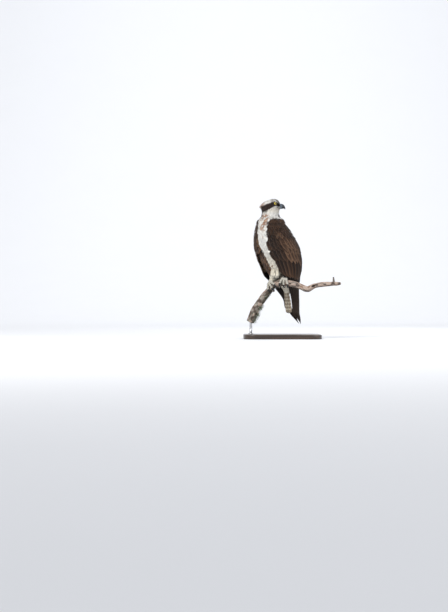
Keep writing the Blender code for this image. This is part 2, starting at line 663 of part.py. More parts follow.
TOES = {    # start and end angle over the branch, spread at root and at tip
    "inner": (0.30, 1.75, -0.35, -1.00), "middle": (0.10, 2.00, 0.0, 0.16),
    "outer": (0.30, 1.80, 0.35, 1.35), "hind": (-0.25, -1.45, 0.0, -0.40),
}
SPREAD = 0.0155
for side, mirror in (("left", 1), ("right", -1)):
    top, r0, r1 = THIGH[side]
    top, bottom = np.array(top), np.array(SHANK[side][0])
    for name, grow, cutter in (("thigh_" + side, 0.0, False), ("thigh_room_" + side, GAP, True)):
        path, radii = [], []
        for k in range(9):
            u = k / 8
            path.append(top + (bottom - top) * u)
            r = r0 + (r1 - r0) * u
            cap = min(1.0, math.sqrt(max(0.0, 1 - (1 - min(u, 0.36) / 0.36) ** 2)) + 0.22)
            radii.append(r * cap + grow)
        d = (bottom - top) / np.linalg.norm(bottom - top)
        path[0] = path[0] - d * grow
        path[-1] = path[-1] + d * grow
        ob = loft(name, tube_rings(path, radii, 12, up=(1, 0, 0)), WHITE, bird, cutter)
        if cutter:
            cut(trunk, ob)

    centre, R, along, fore, up = foot_frame(side)
    along = along * mirror                # away from the other foot
    ankle = np.array(bottom) + (bottom - top) / np.linalg.norm(bottom - top) * (2 * GAP)
    q = turn(ankle, BODY_YAW)
    ankle = np.array((q[0], q[1], ankle[2]))
    pad_at = centre + up * (R + 0.0082)
    drop = (bottom - top) / np.linalg.norm(bottom - top)
    q = turn(drop, BODY_YAW)
    start = ankle + np.array((q[0], q[1], drop[2])) * 0.003
    path = [ankle, start] + [start + (pad_at - start) * u for u in (0.4, 0.75, 1.0)]
    leg = loft("leg_" + side, tube_rings(path, [0.0068, 0.0067, 0.0064, 0.0066, 0.0062], 10,
                                         up=(1, 0, 0)), SCALE, perch_frame)
    rings = [[tuple(pad_at - up * 0.0068)]]
    for k in range(1, 5):
        v = -0.5 * math.pi + math.pi * k / 5
        ring = []
        for j in range(10):
            g = 2 * math.pi * j / 10
            ring.append(tuple(pad_at + along * (0.0125 * math.cos(v) * math.cos(g))
                              + fore * (0.0125 * math.cos(v) * math.sin(g))
                              + up * (0.0068 * math.sin(v))))
        rings.append(ring)
    rings.append([tuple(pad_at + up * 0.0068)])
    pad = loft("pad_" + side, rings, SCALE, perch_frame, True)
    cut(leg, pad, "UNION")

    for toe, (t0, t1, o0, o1) in TOES.items():
        thick0, thick1 = (0.0054, 0.0042) if toe != "hind" else (0.0052, 0.0044)
        path, radii = [], []
        for k in range(7):
            u = k / 6
            th = t0 + (t1 - t0) * u
            r = thick0 + (thick1 - thick0) * u + 0.0005 * math.cos(6 * math.pi * u)
            out = R + 0.0009 + r
            off = SPREAD * (o0 + (o1 - o0) * u)
            at = centre + along * off + out * (math.cos(th) * up + math.sin(th) * fore)
            path.append(off_the_wood(at, r + 0.0009))
            radii.append(r if 0 < k < 6 else r * 0.82)
        piece = loft("toe_%s_%s" % (toe, side), tube_rings(path, radii, 7, up=along), SCALE,
                     perch_frame, True)
        cut(leg, piece, "UNION")
        # the talon leaves the toe's end, arches out and comes back to the wood
        end, before = path[-1], path[-2]
        rings, sgn = [], (1 if toe != "hind" else -1)
        claw, widths = [], []
        for k in range(7):
            u = k / 6
            th = t1 + sgn * (0.072 + 1.10 * u)
            r = 0.0036 * (1 - u) ** 0.8 + 0.0006
            out = R + 0.0009 + thick1 * (1 - u) + 0.0005 + 0.0050 * math.sin(math.pi * u) + r * 0.6
            at = (centre + along * (SPREAD * (o1 + 0.12 * (o1 - o0) * u))
                  + out * (math.cos(th) * up + math.sin(th) * fore))
            claw.append(off_the_wood(at, r + 0.0009))
            widths.append(r)
        loft("talon_%s_%s" % (toe, side), tube_rings(claw, widths, 6, up=along), HORN, perch_frame)

# ------------------------------------------------------------------ perch
line = branch_line(2)
path, radii = line[:, :3], line[:, 3].copy()
rings = []
SIDES = 14
base_rings = tube_rings(path, radii, SIDES, up=(0, -1, 0))
for i, ring in enumerate(base_rings):
    x = path[i][0]
    near_feet = math.exp(-((x - 0.004) / 0.045) ** 4)
    wave = np.array([1 + (1 - near_feet) * 0.055 * math.sin(2.3 * i + 4.0 * math.pi * j / SIDES)
                     * math.cos(1.1 * i + j * 0.9) for j in range(SIDES)])
    rings.append(path[i] + (ring - path[i]) * wave[:, None])
perch = loft("perch", rings, BARK, perch_frame)

SPURS = [   # root, tip, radii
    ((0.2375, -0.1285, -0.0030), (0.2360, -0.1290, 0.0240), 0.0062, 0.0032),
    ((-0.0255, -0.0020, -0.0200), (-0.0160, -0.0080, -0.0385), 0.0080, 0.0040),
]
for k, (a, b, ra, rb) in enumerate(SPURS):
    pts = [np.array(a) + (np.array(b) - np.array(a)) * u for u in (0, 0.5, 1)]
    spur = loft("spur_%d" % k, tube_rings(pts, [ra, 0.5 * (ra + rb), rb], 8, up=(1, 0, 0)),
                BARK, perch_frame, True)
    cut(perch, spur, "UNION")

# ------------------------------------------------------------------ stand
foot_x = PERCH_POINT[0] + BRANCH[0][0] + 0.0030
foot_y = PERCH_POINT[1] + BRANCH[0][2]
foot_z = PERCH_POINT[2] + BRANCH[0][1]
rod_top = foot_z + 0.024


def disc_tube(name, x, y, z0, z1, r, sides, material, cutter=False):
    bm = bmesh.new()
    bmesh.ops.create_cone(bm, cap_ends=True, segments=sides, radius1=r, radius2=r, depth=z1 - z0)
    me = bpy.data.meshes.new(name)
    bm.to_mesh(me)
    bm.free()
    me.materials.append(material)
    me.shade_smooth()
    me.set_sharp_from_angle(angle=math.radians(50))
    ob = bpy.data.objects.new(name, me)
    ob.location = (x, y, 0.5 * (z0 + z1))
    bpy.context.collection.objects.link(ob)
    if cutter:
        ob.hide_render = True
        ob.hide_set(True)
        ob.display_type = "WIRE"
    return ob


disc_tube("stand_rod", foot_x, foot_y, BASE_SIZE[2] + 0.0003, rod_top, ROD_R, 16, STEEL)
hole = disc_tube("rod_hole", foot_x, foot_y, BASE_SIZE[2] + 0.01, rod_top + 0.0004, ROD_R + 0.0004,
                 16, BARK, True)
cut(perch, hole)

bm = bmesh.new()
corner, per = 0.055, 7
outline = []
for cx, cy, start in ((1, 1, 0), (-1, 1, 90), (-1, -1, 180), (1, -1, 270)):
    for k in range(per):
        g = math.radians(start + 90 * k / (per - 1))
        outline.append((cx * (BASE_SIZE[0] / 2 - corner) + corner * math.cos(g),
                        cy * (BASE_SIZE[1] / 2 - corner) + corner * math.sin(g)))
EDGE = 0.0015
rings = []
for z, inset in ((0, 0), (BASE_SIZE[2] - 0.004, 0), (BASE_SIZE[2] - EDGE, EDGE), (BASE_SIZE[2], 0.004)):
    rings.append([(x * (1 - inset / 0.17), y * (1 - inset / 0.13), z) for x, y in outline])
bm.free()
loft("stand_base", rings, PLINTH)
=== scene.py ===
"""Looks of the perched osprey: skin, feathers, eyes, bill, feet, branch and stand.

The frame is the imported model.  The bird is described in its own frame (s forward,
t to its left, z up, from the middle of the branch between its feet).
"""
import bpy
import math
import numpy as np
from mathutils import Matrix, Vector
from mathutils.kdtree import KDTree


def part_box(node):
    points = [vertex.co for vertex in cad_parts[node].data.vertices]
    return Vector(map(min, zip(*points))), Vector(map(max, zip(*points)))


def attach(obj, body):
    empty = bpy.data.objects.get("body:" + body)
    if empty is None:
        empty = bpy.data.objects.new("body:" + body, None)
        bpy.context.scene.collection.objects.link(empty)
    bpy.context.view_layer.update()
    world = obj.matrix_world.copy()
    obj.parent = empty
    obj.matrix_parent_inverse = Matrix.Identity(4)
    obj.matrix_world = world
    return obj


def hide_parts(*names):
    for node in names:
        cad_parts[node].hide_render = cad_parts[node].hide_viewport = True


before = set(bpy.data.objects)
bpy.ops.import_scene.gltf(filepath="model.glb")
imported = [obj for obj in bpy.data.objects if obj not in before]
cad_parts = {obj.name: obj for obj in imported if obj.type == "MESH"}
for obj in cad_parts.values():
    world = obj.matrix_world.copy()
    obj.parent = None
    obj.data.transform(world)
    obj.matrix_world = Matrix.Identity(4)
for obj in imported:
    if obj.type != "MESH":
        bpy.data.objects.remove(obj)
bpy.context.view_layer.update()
rng = np.random.default_rng(11)

# ------------------------------------------------------- sizes, as in the CAD
PERCH_POINT = np.array((-0.020, 0.0, 0.245))
BODY_YAW = math.radians(-134.0)
HEAD_YAW = math.radians(5.0)
HEAD_AT = np.array((0.0446, 0.0014, 0.339))
EYE_R = 0.0090
EYE_AT = np.array((0.0140, 0.0167, 0.0052))
BASE_SIZE = (0.340, 0.260, 0.020)
ROD_R = 0.006
ROUND = 2.25
Z_WING_TOP, Z_WING_LOW, Z_TIP = 0.2785, 0.032, -0.184
Z_TAIL = (-0.0586, -0.1350)
TURN = HEAD_YAW - BODY_YAW


def pchip(rows, column):
    rows = sorted(rows)
    x = np.array([r[0] for r in rows], float)
    y = np.array([r[column] for r in rows], float)
    h = np.diff(x)
    d = np.diff(y) / h
    m = np.zeros(len(x))
    m[0], m[-1] = d[0], d[-1]
    for i in range(1, len(x) - 1):
        if d[i - 1] * d[i] > 0:
            w1, w2 = 2 * h[i] + h[i - 1], h[i] + 2 * h[i - 1]
            m[i] = (w1 + w2) / (w1 / d[i - 1] + w2 / d[i])

    def f(v):
        v = np.clip(np.asarray(v, float), x[0], x[-1])
        i = np.clip(np.searchsorted(x, v, side="right") - 1, 0, len(x) - 2)
        u = (v - x[i]) / h[i]
        return ((2 * u**3 - 3 * u**2 + 1) * y[i] + (u**3 - 2 * u**2 + u) * h[i] * m[i]
                + (3 * u**2 - 2 * u**3) * y[i + 1] + (u**3 - u**2) * h[i] * m[i + 1])
    return f


def step(a, b, v):
    u = np.clip((v - a) / (b - a), 0, 1)
    return u * u * (3 - 2 * u)


def smin(a, b, k):
    h = np.clip(0.5 + 0.5 * (b - a) / k, 0, 1)
    return b * (1 - h) + a * h - k * h * (1 - h)


def smax(a, b, k):
    return -smin(-a, -b, k)


def unit(v):
    return v / np.maximum(np.linalg.norm(v, axis=-1, keepdims=True), 1e-12)


def lerp(a, b, t):
    return a + (b - a) * t


ENVELOPE = [
    (0.2920, 0.0460, 0.030, 0.030, 0.032), (0.2730, 0.0450, 0.052, 0.052, 0.062),
    (0.2510, 0.0425, 0.059, 0.060, 0.0715), (0.2290, 0.0330, 0.0700, 0.0700, 0.0830),
    (0.1850, 0.0170, 0.0830, 0.0833, 0.0983), (0.1410, 0.0000, 0.0880, 0.0890, 0.1050),
    (0.1010, -0.0125, 0.0820, 0.0870, 0.1040), (0.0700, -0.0206, 0.0720, 0.0810, 0.0990),
    (0.0570, -0.0235, 0.0680, 0.0770, 0.0965), (0.0310, -0.0280, 0.0610, 0.0680, 0.0870),
    (0.0090, -0.0440, 0.0560, 0.0580, 0.0740), (-0.0220, -0.0614, 0.0440, 0.0460, 0.0580),
    (-0.0790, -0.0930, 0.0317, 0.0317, 0.0374), (-0.1320, -0.1010, 0.0290, 0.0290, 0.0343),
    (-0.1600, -0.1270, 0.0170, 0.0180, 0.0210), (-0.1840, -0.1500, 0.0050, 0.0050, 0.0065)]
ENV_C, ENV_F, ENV_B, ENV_A = (pchip(ENVELOPE, k) for k in (1, 2, 3, 4))
TRUNK = [
    (0.2920, 0.085, 0.000, 0.060), (0.1850, 0.104, -0.080, 0.100), (0.1600, 0.0935, -0.081, 0.097),
    (0.1410, 0.0820, -0.081, 0.094), (0.1010, 0.0590, -0.087, 0.090), (0.0700, 0.0400, -0.088, 0.082),
    (0.0450, 0.0220, -0.087, 0.070), (0.0200, 0.0060, -0.085, 0.056), (0.0000, -0.0160, -0.084, 0.045),
    (-0.0220, -0.0380, -0.084, 0.035), (-0.0450, -0.0520, -0.080, 0.027),
    (-0.0580, -0.0580, -0.077, 0.023)]
TR_F, TR_B, TR_A = (pchip(TRUNK, k) for k in (1, 2, 3))
WING_EDGE = [
    (0.2785, 50.0, 78.0), (0.2720, 36.0, 100.0), (0.2620, 28.0, 120.0), (0.2500, 24.0, 134.0),
    (0.2240, 20.5, 152.0), (0.1950, 17.5, 164.0), (0.1670, 16.0, 172.0), (0.1230, 14.5, 176.5),
    (0.0920, 15.5, 176.5), (0.0570, 18.5, 175.0), (0.0320, 22.0, 171.0), (0.0200, 28.0, 168.0),
    (0.0000, 34.0, 160.0), (-0.0300, 47.0, 150.0), (-0.0800, 43.0, 146.0), (-0.1320, 42.0, 154.0),
    (-0.1600, 62.0, 156.0), (-0.1840, 70.0, 150.0)]
EDGE_LEAD, EDGE_BACK = (pchip(WING_EDGE, k) for k in (1, 2))
SWING = pchip([(0.2785, 0.0), (0.1670, 0.0), (0.1230, 5.0), (0.0920, 7.5), (0.0570, 10.0),
               (0.0320, 10.0), (0.0, 6.0), (-0.03, 0.0), (-0.184, 0.0)], 1)
BRANCH = [
    (-0.1194, -0.1716, 0.0400, 0.0186), (-0.0975, -0.1197, 0.0330, 0.0184),
    (-0.0805, -0.0915, 0.0280, 0.0180), (-0.0610, -0.0640, 0.0200, 0.0174),
    (-0.0385, -0.0360, 0.0075, 0.0164), (-0.0215, -0.0140, -0.0036, 0.0154),
    (-0.0026, -0.0044, -0.0128, 0.0148), (0.0255, 0.0022, -0.0258, 0.0145),
    (0.0513, -0.0024, -0.0387, 0.0142), (0.0787, -0.0078, -0.0517, 0.0134),
    (0.1059, -0.0194, -0.0648, 0.0128), (0.1274, -0.0277, -0.0752, 0.0136),
    (0.1598, -0.0132, -0.0909, 0.0108), (0.2025, -0.0066, -0.1117, 0.0104),
    (0.2465, -0.0050, -0.1330, 0.0088), (0.2659, -0.0042, -0.1429, 0.0050)]
FOOT_ALONG = {"left": 0.0310, "right": -0.0190}
SHANK = {"left": ((0.0000, 0.0385, 0.0504), (-0.0011, 0.0420, 0.0240)),
         "right": ((0.0145, -0.0155, 0.0240), (0.0168, -0.0102, 0.0110))}
THIGH = {"left": ((0.0080, 0.0310, 0.0920), 0.0205, 0.0140),
         "right": ((0.0140, -0.0250, 0.0780), 0.0200, 0.0128)}
NECK = [(0.200, 0.034, 0.050), (0.262, 0.0440, 0.0450), (0.286, 0.0462, 0.0405),
        (0.311, 0.0480, 0.0375), (0.330, 0.0470, 0.0330), (0.345, 0.0460, 0.022),
        (0.352, 0.0460, 0.006)]
NECK_C, NECK_R = (pchip(NECK, k) for k in (1, 2))


def spin(p, angle):
    c, s = math.cos(angle), math.sin(angle)
    q = np.array(p, float)
    x, y = q[..., 0].copy(), q[..., 1].copy()
    q[..., 0], q[..., 1] = c * x - s * y, s * x + c * y
    return q


def to_world(p):
    return spin(p, BODY_YAW) + PERCH_POINT


def to_head(p):
    return spin(p - HEAD_AT, -TURN)


def from_head(q):
    return spin(q, TURN) + HEAD_AT


def branch_line(steps):
    rows = np.array([(x, y, z, r) for x, z, y, r in BRANCH])
    out = []
    for i in range(len(rows) - 1):
        p0, p1, p2, p3 = rows[max(i - 1, 0)], rows[i], rows[i + 1], rows[min(i + 2, len(rows) - 1)]
        for k in range(steps):
            u = k / steps
            out.append(0.5 * (2 * p1 + (p2 - p0) * u + (2 * p0 - 5 * p1 + 4 * p2 - p3) * u * u
                              + (3 * p1 - p0 - 3 * p2 + p3) * u**3))
    out.append(rows[-1])
    return np.array(out)


GRIP = branch_line(3)
GRIP = GRIP[(GRIP[:, 0] > -0.075) & (GRIP[:, 0] < 0.12)]
GRIP_BIRD, GRIP_R = spin(GRIP[:, :3], -BODY_YAW), GRIP[:, 3]


def branch_room(p, clear, flat):
    best = np.full(p.shape[:-1], 1e9)
    squash = np.array((1.0, 1.0, flat))
    p = p * squash
    for k in range(len(GRIP_BIRD) - 1):
        a, b = GRIP_BIRD[k] * squash, GRIP_BIRD[k + 1] * squash
        ab = b - a
        u = np.clip(((p - a) @ ab) / (ab @ ab), 0, 1)
        d = np.linalg.norm(p - (a + u[..., None] * ab), axis=-1)
        best = np.minimum(best, d - (GRIP_R[k] * (1 - u) + GRIP_R[k + 1] * u))
    return clear - best


def cone(p, a, b, ra, rb):
    a, b = np.array(a, float), np.array(b, float)
    ab = b - a
    u = np.clip(((p - a) @ ab) / (ab @ ab), 0, 1)
    return np.linalg.norm(p - (a + u[..., None] * ab), axis=-1) - (ra + (rb - ra) * u)


def leg_room(p, clear):
    best = np.full(p.shape[:-1], 1e9)
    for a, b in SHANK.values():
        best = np.minimum(best, cone(p, a, b, 0, 0))
    return clear - best


def section(ds, dt, front, back, half):
    depth = np.where(ds > 0, front, back)
    q = ((np.abs(ds) / depth) ** ROUND + (np.abs(dt) / half) ** ROUND) ** (1 / ROUND)
    return (q - 1) * np.minimum(depth, half)


def ellipsoid(p, centre, radii, pitch=0.0):
    d = p - np.array(centre)
    c, s = math.cos(pitch), math.sin(pitch)
    x, z = c * d[..., 0] + s * d[..., 2], -s * d[..., 0] + c * d[..., 2]
    return (np.sqrt((x / radii[0])**2 + (d[..., 1] / radii[1])**2 + (z / radii[2])**2) - 1) * min(radii)


def head_field(q):
    f = ellipsoid(q, (-0.006, 0, 0.002), (0.040, 0.0265, 0.0225), math.radians(18))
    f = smin(f, ellipsoid(q, (0.0125, 0, 0.0090), (0.0215, 0.0200, 0.0178)), 0.010)
    f = smin(f, cone(q, (0.020, 0, 0.000), (0.0385, 0, -0.0035), 0.0165, 0.0098), 0.010)
    f = smin(f, ellipsoid(q, (0.010, 0, -0.016), (0.0245, 0.0235, 0.0170)), 0.012)
    return smin(f, cone(q, (-0.030, 0, -0.004), (-0.0465, 0, -0.0068), 0.0115, 0.0028), 0.012)


def neck_field(p):
    z = p[..., 2]
    tube = np.hypot(p[..., 0] - NECK_C(z), (p[..., 1] - 0.001) * 1.03) - NECK_R(z)
    return np.maximum(tube, z - 0.346)


def outline_field(p):
    z = p[..., 2]
    body = section(p[..., 0] - ENV_C(z), p[..., 1], ENV_F(z), ENV_B(z), ENV_A(z))
    body = np.maximum(body, z - 0.291)
    return smin(body, smin(neck_field(p), head_field(to_head(p)), 0.012), 0.016)


def low_field(p):
    f = smax(outline_field(p), leg_room(p, 0.0150), 0.003)
    return smax(f, branch_room(p, 0.0135, 0.62), 0.006)


def trunk_field(p):
    z = p[..., 2]
    mid, dep = 0.5 * (TR_F(z) + TR_B(z)), 0.5 * (TR_F(z) - TR_B(z))
    body = section(p[..., 0] - mid, p[..., 1], dep, dep, TR_A(z))
    body = smax(body, leg_room(p, 0.0200), 0.003)
    body = smax(body, branch_room(p, 0.0190, 0.62), 0.006)
    return smax(body, -0.0580 - z, 0.006)


def coat_field(p):
    """Outside of the coat on everything but the folded wings."""
    z = p[..., 2]
    f = outline_field(p)
    low = z < 0.19
    if low.any():
        q = p[low]
        f[low] = smax(f[low], trunk_field(q), 0.004)
        t = np.full(len(q), 1e9)
        for side in THIGH:
            top, r0, r1 = THIGH[side]
            t = np.minimum(t, cone(q, top, SHANK[side][0], r0, r1))
        f[low] = smin(f[low], t, 0.006)
    return f


def coat_depth(p):
    """How deep the skin lies under the feathers' tips."""
    q = to_head(p)
    z = p[..., 2]
    d = lerp(0.0070, 0.0040, step(0.285, 0.325, z))
    face = step(-0.020, 0.022, q[..., 0]) * step(0.300, 0.318, z)
    d = lerp(d, 0.0020, face)
    return lerp(d, 0.0032, step(0.085, 0.050, z) * step(-0.02, 0.01, z) * 0.9)


def hashed(ix, iy, iz, seed):
    h = (ix * 374761393 + iy * 668265263 + iz * 2147483647 + seed * 1274126177) & 0xFFFFFFFF
    h = ((h ^ (h >> 13)) * 1274126177) & 0xFFFFFFFF
    return ((h ^ (h >> 16)) & 0xFFFFFF) / float(0xFFFFFF)


def noise(p, size, seed=0):
    """Smooth value noise from 0 to 1, with features about `size` across."""
    q = np.asarray(p, float) / np.asarray(size)
    i = np.floor(q).astype(np.int64)
    f = q - i
    f = f * f * (3 - 2 * f)
    out = 0.0
    for a in (0, 1):
        for b in (0, 1):
            for c in (0, 1):
                w = ((f[..., 0] if a else 1 - f[..., 0]) * (f[..., 1] if b else 1 - f[..., 1])
                     * (f[..., 2] if c else 1 - f[..., 2]))
                out = out + w * hashed(i[..., 0] + a, i[..., 1] + b, i[..., 2] + c, seed)
    return out


# ---------------------------------------------------------------- mesh making
def make(name, verts, faces, material, colours=None, vane=None, uv=None,
         replaces=(), smooth=True):
    """A mesh piece that rides on the one body.  faces: arrays of quads and triangles."""
    me = bpy.data.meshes.new(name)
    groups = [np.asarray(f, np.int64) for f in (faces if isinstance(faces, list) else [faces]) if len(f)]
    at = np.asarray(verts, float)
    volume = sum(np.einsum("ij,ij->", at[g[:, 0]], np.cross(at[g[:, k]], at[g[:, k + 1]]))
                 for g in groups for k in range(1, g.shape[1] - 1))
    if volume < 0:                         # faces look outwards
        groups = [g[:, ::-1] for g in groups]
    loops = np.concatenate([g.ravel() for g in groups])
    sizes = np.concatenate([np.full(len(g), g.shape[1]) for g in groups])
    starts = np.concatenate([[0], np.cumsum(sizes)[:-1]])
    me.vertices.add(len(verts))
    me.vertices.foreach_set("co", np.asarray(verts, np.float32).ravel())
    me.loops.add(len(loops))
    me.loops.foreach_set("vertex_index", loops.astype(np.int32))
    me.polygons.add(len(sizes))
    me.polygons.foreach_set("loop_start", starts.astype(np.int32))
    me.polygons.foreach_set("use_smooth", np.full(len(sizes), smooth))
    me.update(calc_edges=True)
    if colours is not None:
        c = np.ones((len(verts), 4), np.float32)
        c[:, :3] = np.clip(colours, 0, 1)
        me.attributes.new("tint", "FLOAT_COLOR", "POINT").data.foreach_set("color", c.ravel())
    if vane is not None:
        me.attributes.new("vane", "FLOAT_VECTOR", "POINT").data.foreach_set(
            "vector", np.asarray(vane, np.float32).ravel())
    if uv is not None:
        me.uv_layers.new(name="OFBake").data.foreach_set("uv", np.asarray(uv, np.float32)[loops].ravel())
    me.materials.append(material)
    ob = bpy.data.objects.new(name, me)
    bpy.context.scene.collection.objects.link(ob)
    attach(ob, "root")
    if replaces:
        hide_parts(*replaces)
    return ob


def surface_nets(field, xs, ys, zs):
    """Closed quad mesh of the field's zero surface on an uneven box grid."""
    grid = (np.asarray(xs), np.asarray(ys), np.asarray(zs))
    Y, Z = np.meshgrid(grid[1], grid[2], indexing="ij")
    F = np.stack([field(np.stack([np.full(Y.shape, x), Y, Z], -1)) for x in grid[0]])
    S = F < 0
    shape = tuple(n - 1 for n in F.shape)
    acc, cnt, crossings = np.zeros(shape + (3,)), np.zeros(shape), []
    for axis in range(3):
        lo, hi = [slice(None)] * 3, [slice(None)] * 3
        lo[axis], hi[axis] = slice(0, -1), slice(1, None)
        f0, f1, s0, s1 = F[tuple(lo)], F[tuple(hi)], S[tuple(lo)], S[tuple(hi)]
        idx = np.argwhere(s0 != s1)
        at = tuple(idx.T)
        t = f0[at] / (f0[at] - f1[at])
        pos = np.stack([grid[d][idx[:, d]] for d in range(3)], -1)
        pos[:, axis] += t * (grid[axis][idx[:, axis] + 1] - grid[axis][idx[:, axis]])
        o1, o2 = ((1, 2), (2, 0), (0, 1))[axis]
        for da in (0, -1):
            for db in (0, -1):
                cell = idx.copy()
                cell[:, o1] += da
                cell[:, o2] += db
                ok = (cell >= 0).all(1) & (cell < np.array(shape)).all(1)
                np.add.at(acc, tuple(cell[ok].T), pos[ok])
                np.add.at(cnt, tuple(cell[ok].T), 1)
        crossings.append((idx, s0[at], o1, o2))
    used = cnt > 0
    vid = np.full(shape, -1)
    vid[used] = np.arange(used.sum())
    verts = acc[used] / cnt[used][:, None]
    quads = []
    for idx, inside, o1, o2 in crossings:
        corners = []
        for da, db in ((0, 0), (-1, 0), (-1, -1), (0, -1)):
            cell = idx.copy()
            cell[:, o1] += da
            cell[:, o2] += db
            ok = (cell >= 0).all(1) & (cell < np.array(shape)).all(1)
            cell[~ok] = 0
            corners.append(np.where(ok, vid[tuple(cell.T)], -1))
        q = np.stack(corners, -1)
        q = np.where(inside[:, None], q, q[:, ::-1])
        quads.append(q[(q >= 0).all(1)])
    return verts, np.concatenate(quads)


def slope(field, p, h=0.0006):
    f = field(p)
    g = np.stack([field(p + np.eye(3)[d] * h) - f for d in range(3)], -1) / h
    return f, g


def settle(field, p, level, rounds=2):
    """Moves points straight to where the field has the wanted level."""
    for _ in range(rounds):
        f, g = slope(field, p)
        move = ((f - level) / np.maximum((g**2).sum(-1), 0.05))[..., None] * g
        p = p - np.clip(move, -0.006, 0.006)
    return p, unit(g)


# --------------------------------------------------------------------- vanes
def template(K, J):
    top = np.arange((K + 1) * J).reshape(K + 1, J)
    bottom = top.copy()
    bottom[1:K, 1:J - 1] = (K + 1) * J + np.arange((K - 1) * (J - 2)).reshape(K - 1, J - 2)
    quads = []
    for k in range(K):
        for j in range(J - 1):
            quads.append((top[k, j], top[k, j + 1], top[k + 1, j + 1], top[k + 1, j]))
            quads.append((bottom[k, j], bottom[k + 1, j], bottom[k + 1, j + 1], bottom[k, j + 1]))
    return np.array(quads)


def vanes(P, D, N, half, thick, base, edge, fringe, root_uv, J=5, tip_round=0.14, camber=0.16,
          ragged=0.10, tilt=0.0, pointed=0.30, paint=None, patch=0.003, narrow=0.5):
    """Closed thin vanes along the paths P (n, K+1, 3).  Returns verts, quads,
    colours, vane coordinates and UVs.  base and edge: colours (n, 3)."""
    n, rows = P.shape[:2]
    K = rows - 1
    u = np.linspace(0, 1, rows)
    x = np.linspace(-1, 1, J)
    prof = np.interp(u, [0, 0.25, 0.55, 0.80, 0.93, 1.0], [narrow, 0.86, 1.0, 0.93, 0.70, pointed])
    length = np.linalg.norm(np.diff(P, axis=1), axis=-1).sum(1)
    S = unit(np.cross(D, N))
    wob = 1 + ragged * (rng.random((n, rows, J)) - 0.5) * np.abs(x)
    lat = half[:, None, None] * prof[None, :, None] * x * wob
    back = length[:, None, None] * tip_round * (x**2) * (u[:, None] ** 4)
    back = back + length[:, None, None] * ragged * 0.25 * (rng.random((n, rows, J)) - 0.5) * (u[:, None] ** 3)
    dome = -camber * half[:, None, None] * (x**2) * prof[None, :, None] + tilt * x * np.ones((n, rows, J))
    mid = P[:, :, None, :] + S[:, :, None, :] * lat[..., None] - D[:, :, None, :] * back[..., None] \
        + N[:, :, None, :] * dome[..., None]
    body = (1 - x**2)[None, None, :] * np.minimum(1, 3.2 * (1 - u))[None, :, None] * thick[:, None, None]
    top = mid + N[:, :, None, :] * (0.65 * body + 0.00004)[..., None]
    low = mid - N[:, :, None, :] * (0.35 * body + 0.00004)[..., None]
    verts = np.concatenate([top.reshape(n, -1, 3), low[:, 1:K, 1:J - 1].reshape(n, -1, 3)], 1)

    rim = np.clip(np.abs(x)[None, None, :] ** 2.5 * 0.8 + (u[:, None] ** 7)[None] * 0.9, 0, 1)
    amount = rim * fringe[:, None, None]
    col = lerp(base[:, None, None, :], edge[:, None, None, :], amount[..., None])
    shaft = np.exp(-(x / 0.16)**2)[None, None, :, None]
    # darker along the shaft; darker towards the root, partly the feathers' greyer bases and partly painted shade
    # where each vane lies under the next
    col = col * (1 - 0.16 * shaft) * (0.84 + 0.16 * u[:, None])[None, :, :, None]
    if paint is not None:
        col = paint(col, u[None, :, None], x[None, None, :])
    cols = np.concatenate([col.reshape(n, -1, 3), col[:, 1:K, 1:J - 1].reshape(n, -1, 3)], 1)

    flat = np.zeros((n, rows, J, 3))
    flat[..., 0], flat[..., 1] = lat, u[:, None] * length[:, None, None]
    flat[..., 2] = rng.random(n)[:, None, None]
    vane = np.concatenate([flat.reshape(n, -1, 3), flat[:, 1:K, 1:J - 1].reshape(n, -1, 3)], 1)

    uv = np.zeros((n, rows, J, 2))
    if patch is None:                      # strips side by side, for a few long feathers
        wide = 1.0 / n
        uv[..., 0] = (np.arange(n) * wide)[:, None, None] + wide * (0.5 + 0.42 * x)
        uv[..., 1] = 0.02 + 0.96 * u[:, None]
    else:
        uv[..., 0] = root_uv[:, 0, None, None] + patch * 0.5 * x
        uv[..., 1] = root_uv[:, 1, None, None] + patch * (u[:, None] - 0.5)
    uvs = np.concatenate([uv.reshape(n, -1, 2), uv[:, 1:K, 1:J - 1].reshape(n, -1, 2)], 1)

    quads = template(K, J)
    per = verts.shape[1]
    faces = (quads[None] + (np.arange(n) * per)[:, None, None]).reshape(-1, 4)
    return verts.reshape(-1, 3), faces, cols.reshape(-1, 3), vane.reshape(-1, 3), uvs.reshape(-1, 2)


def grow(field, roots, length, depth, lift, rows, toward):
    """Paths that start on the skin and rise to the coat's outside along the lie."""
    n = len(roots)
    P = np.zeros((n, rows, 3))
    D = np.zeros_like(P)
    N = np.zeros_like(P)
    p = roots.copy()
    p, nrm = settle(field, p, -depth, 2)
    for k in range(rows):
        u = k / (rows - 1)
        level = -depth * (1 - u) ** 1.15 + lift * u
        if k:
            p = p + d * (length / (rows - 1))[:, None]
            p, nrm = settle(field, p, level, 1)
        d = toward(p)
        d = unit(d - (d * nrm).sum(-1, keepdims=True) * nrm)
        P[:, k], D[:, k], N[:, k] = p, d, nrm
    fwd = np.gradient(P, axis=1)
    D = unit(fwd)
    N = unit(N - (N * D).sum(-1, keepdims=True) * D)
    return P, D, N


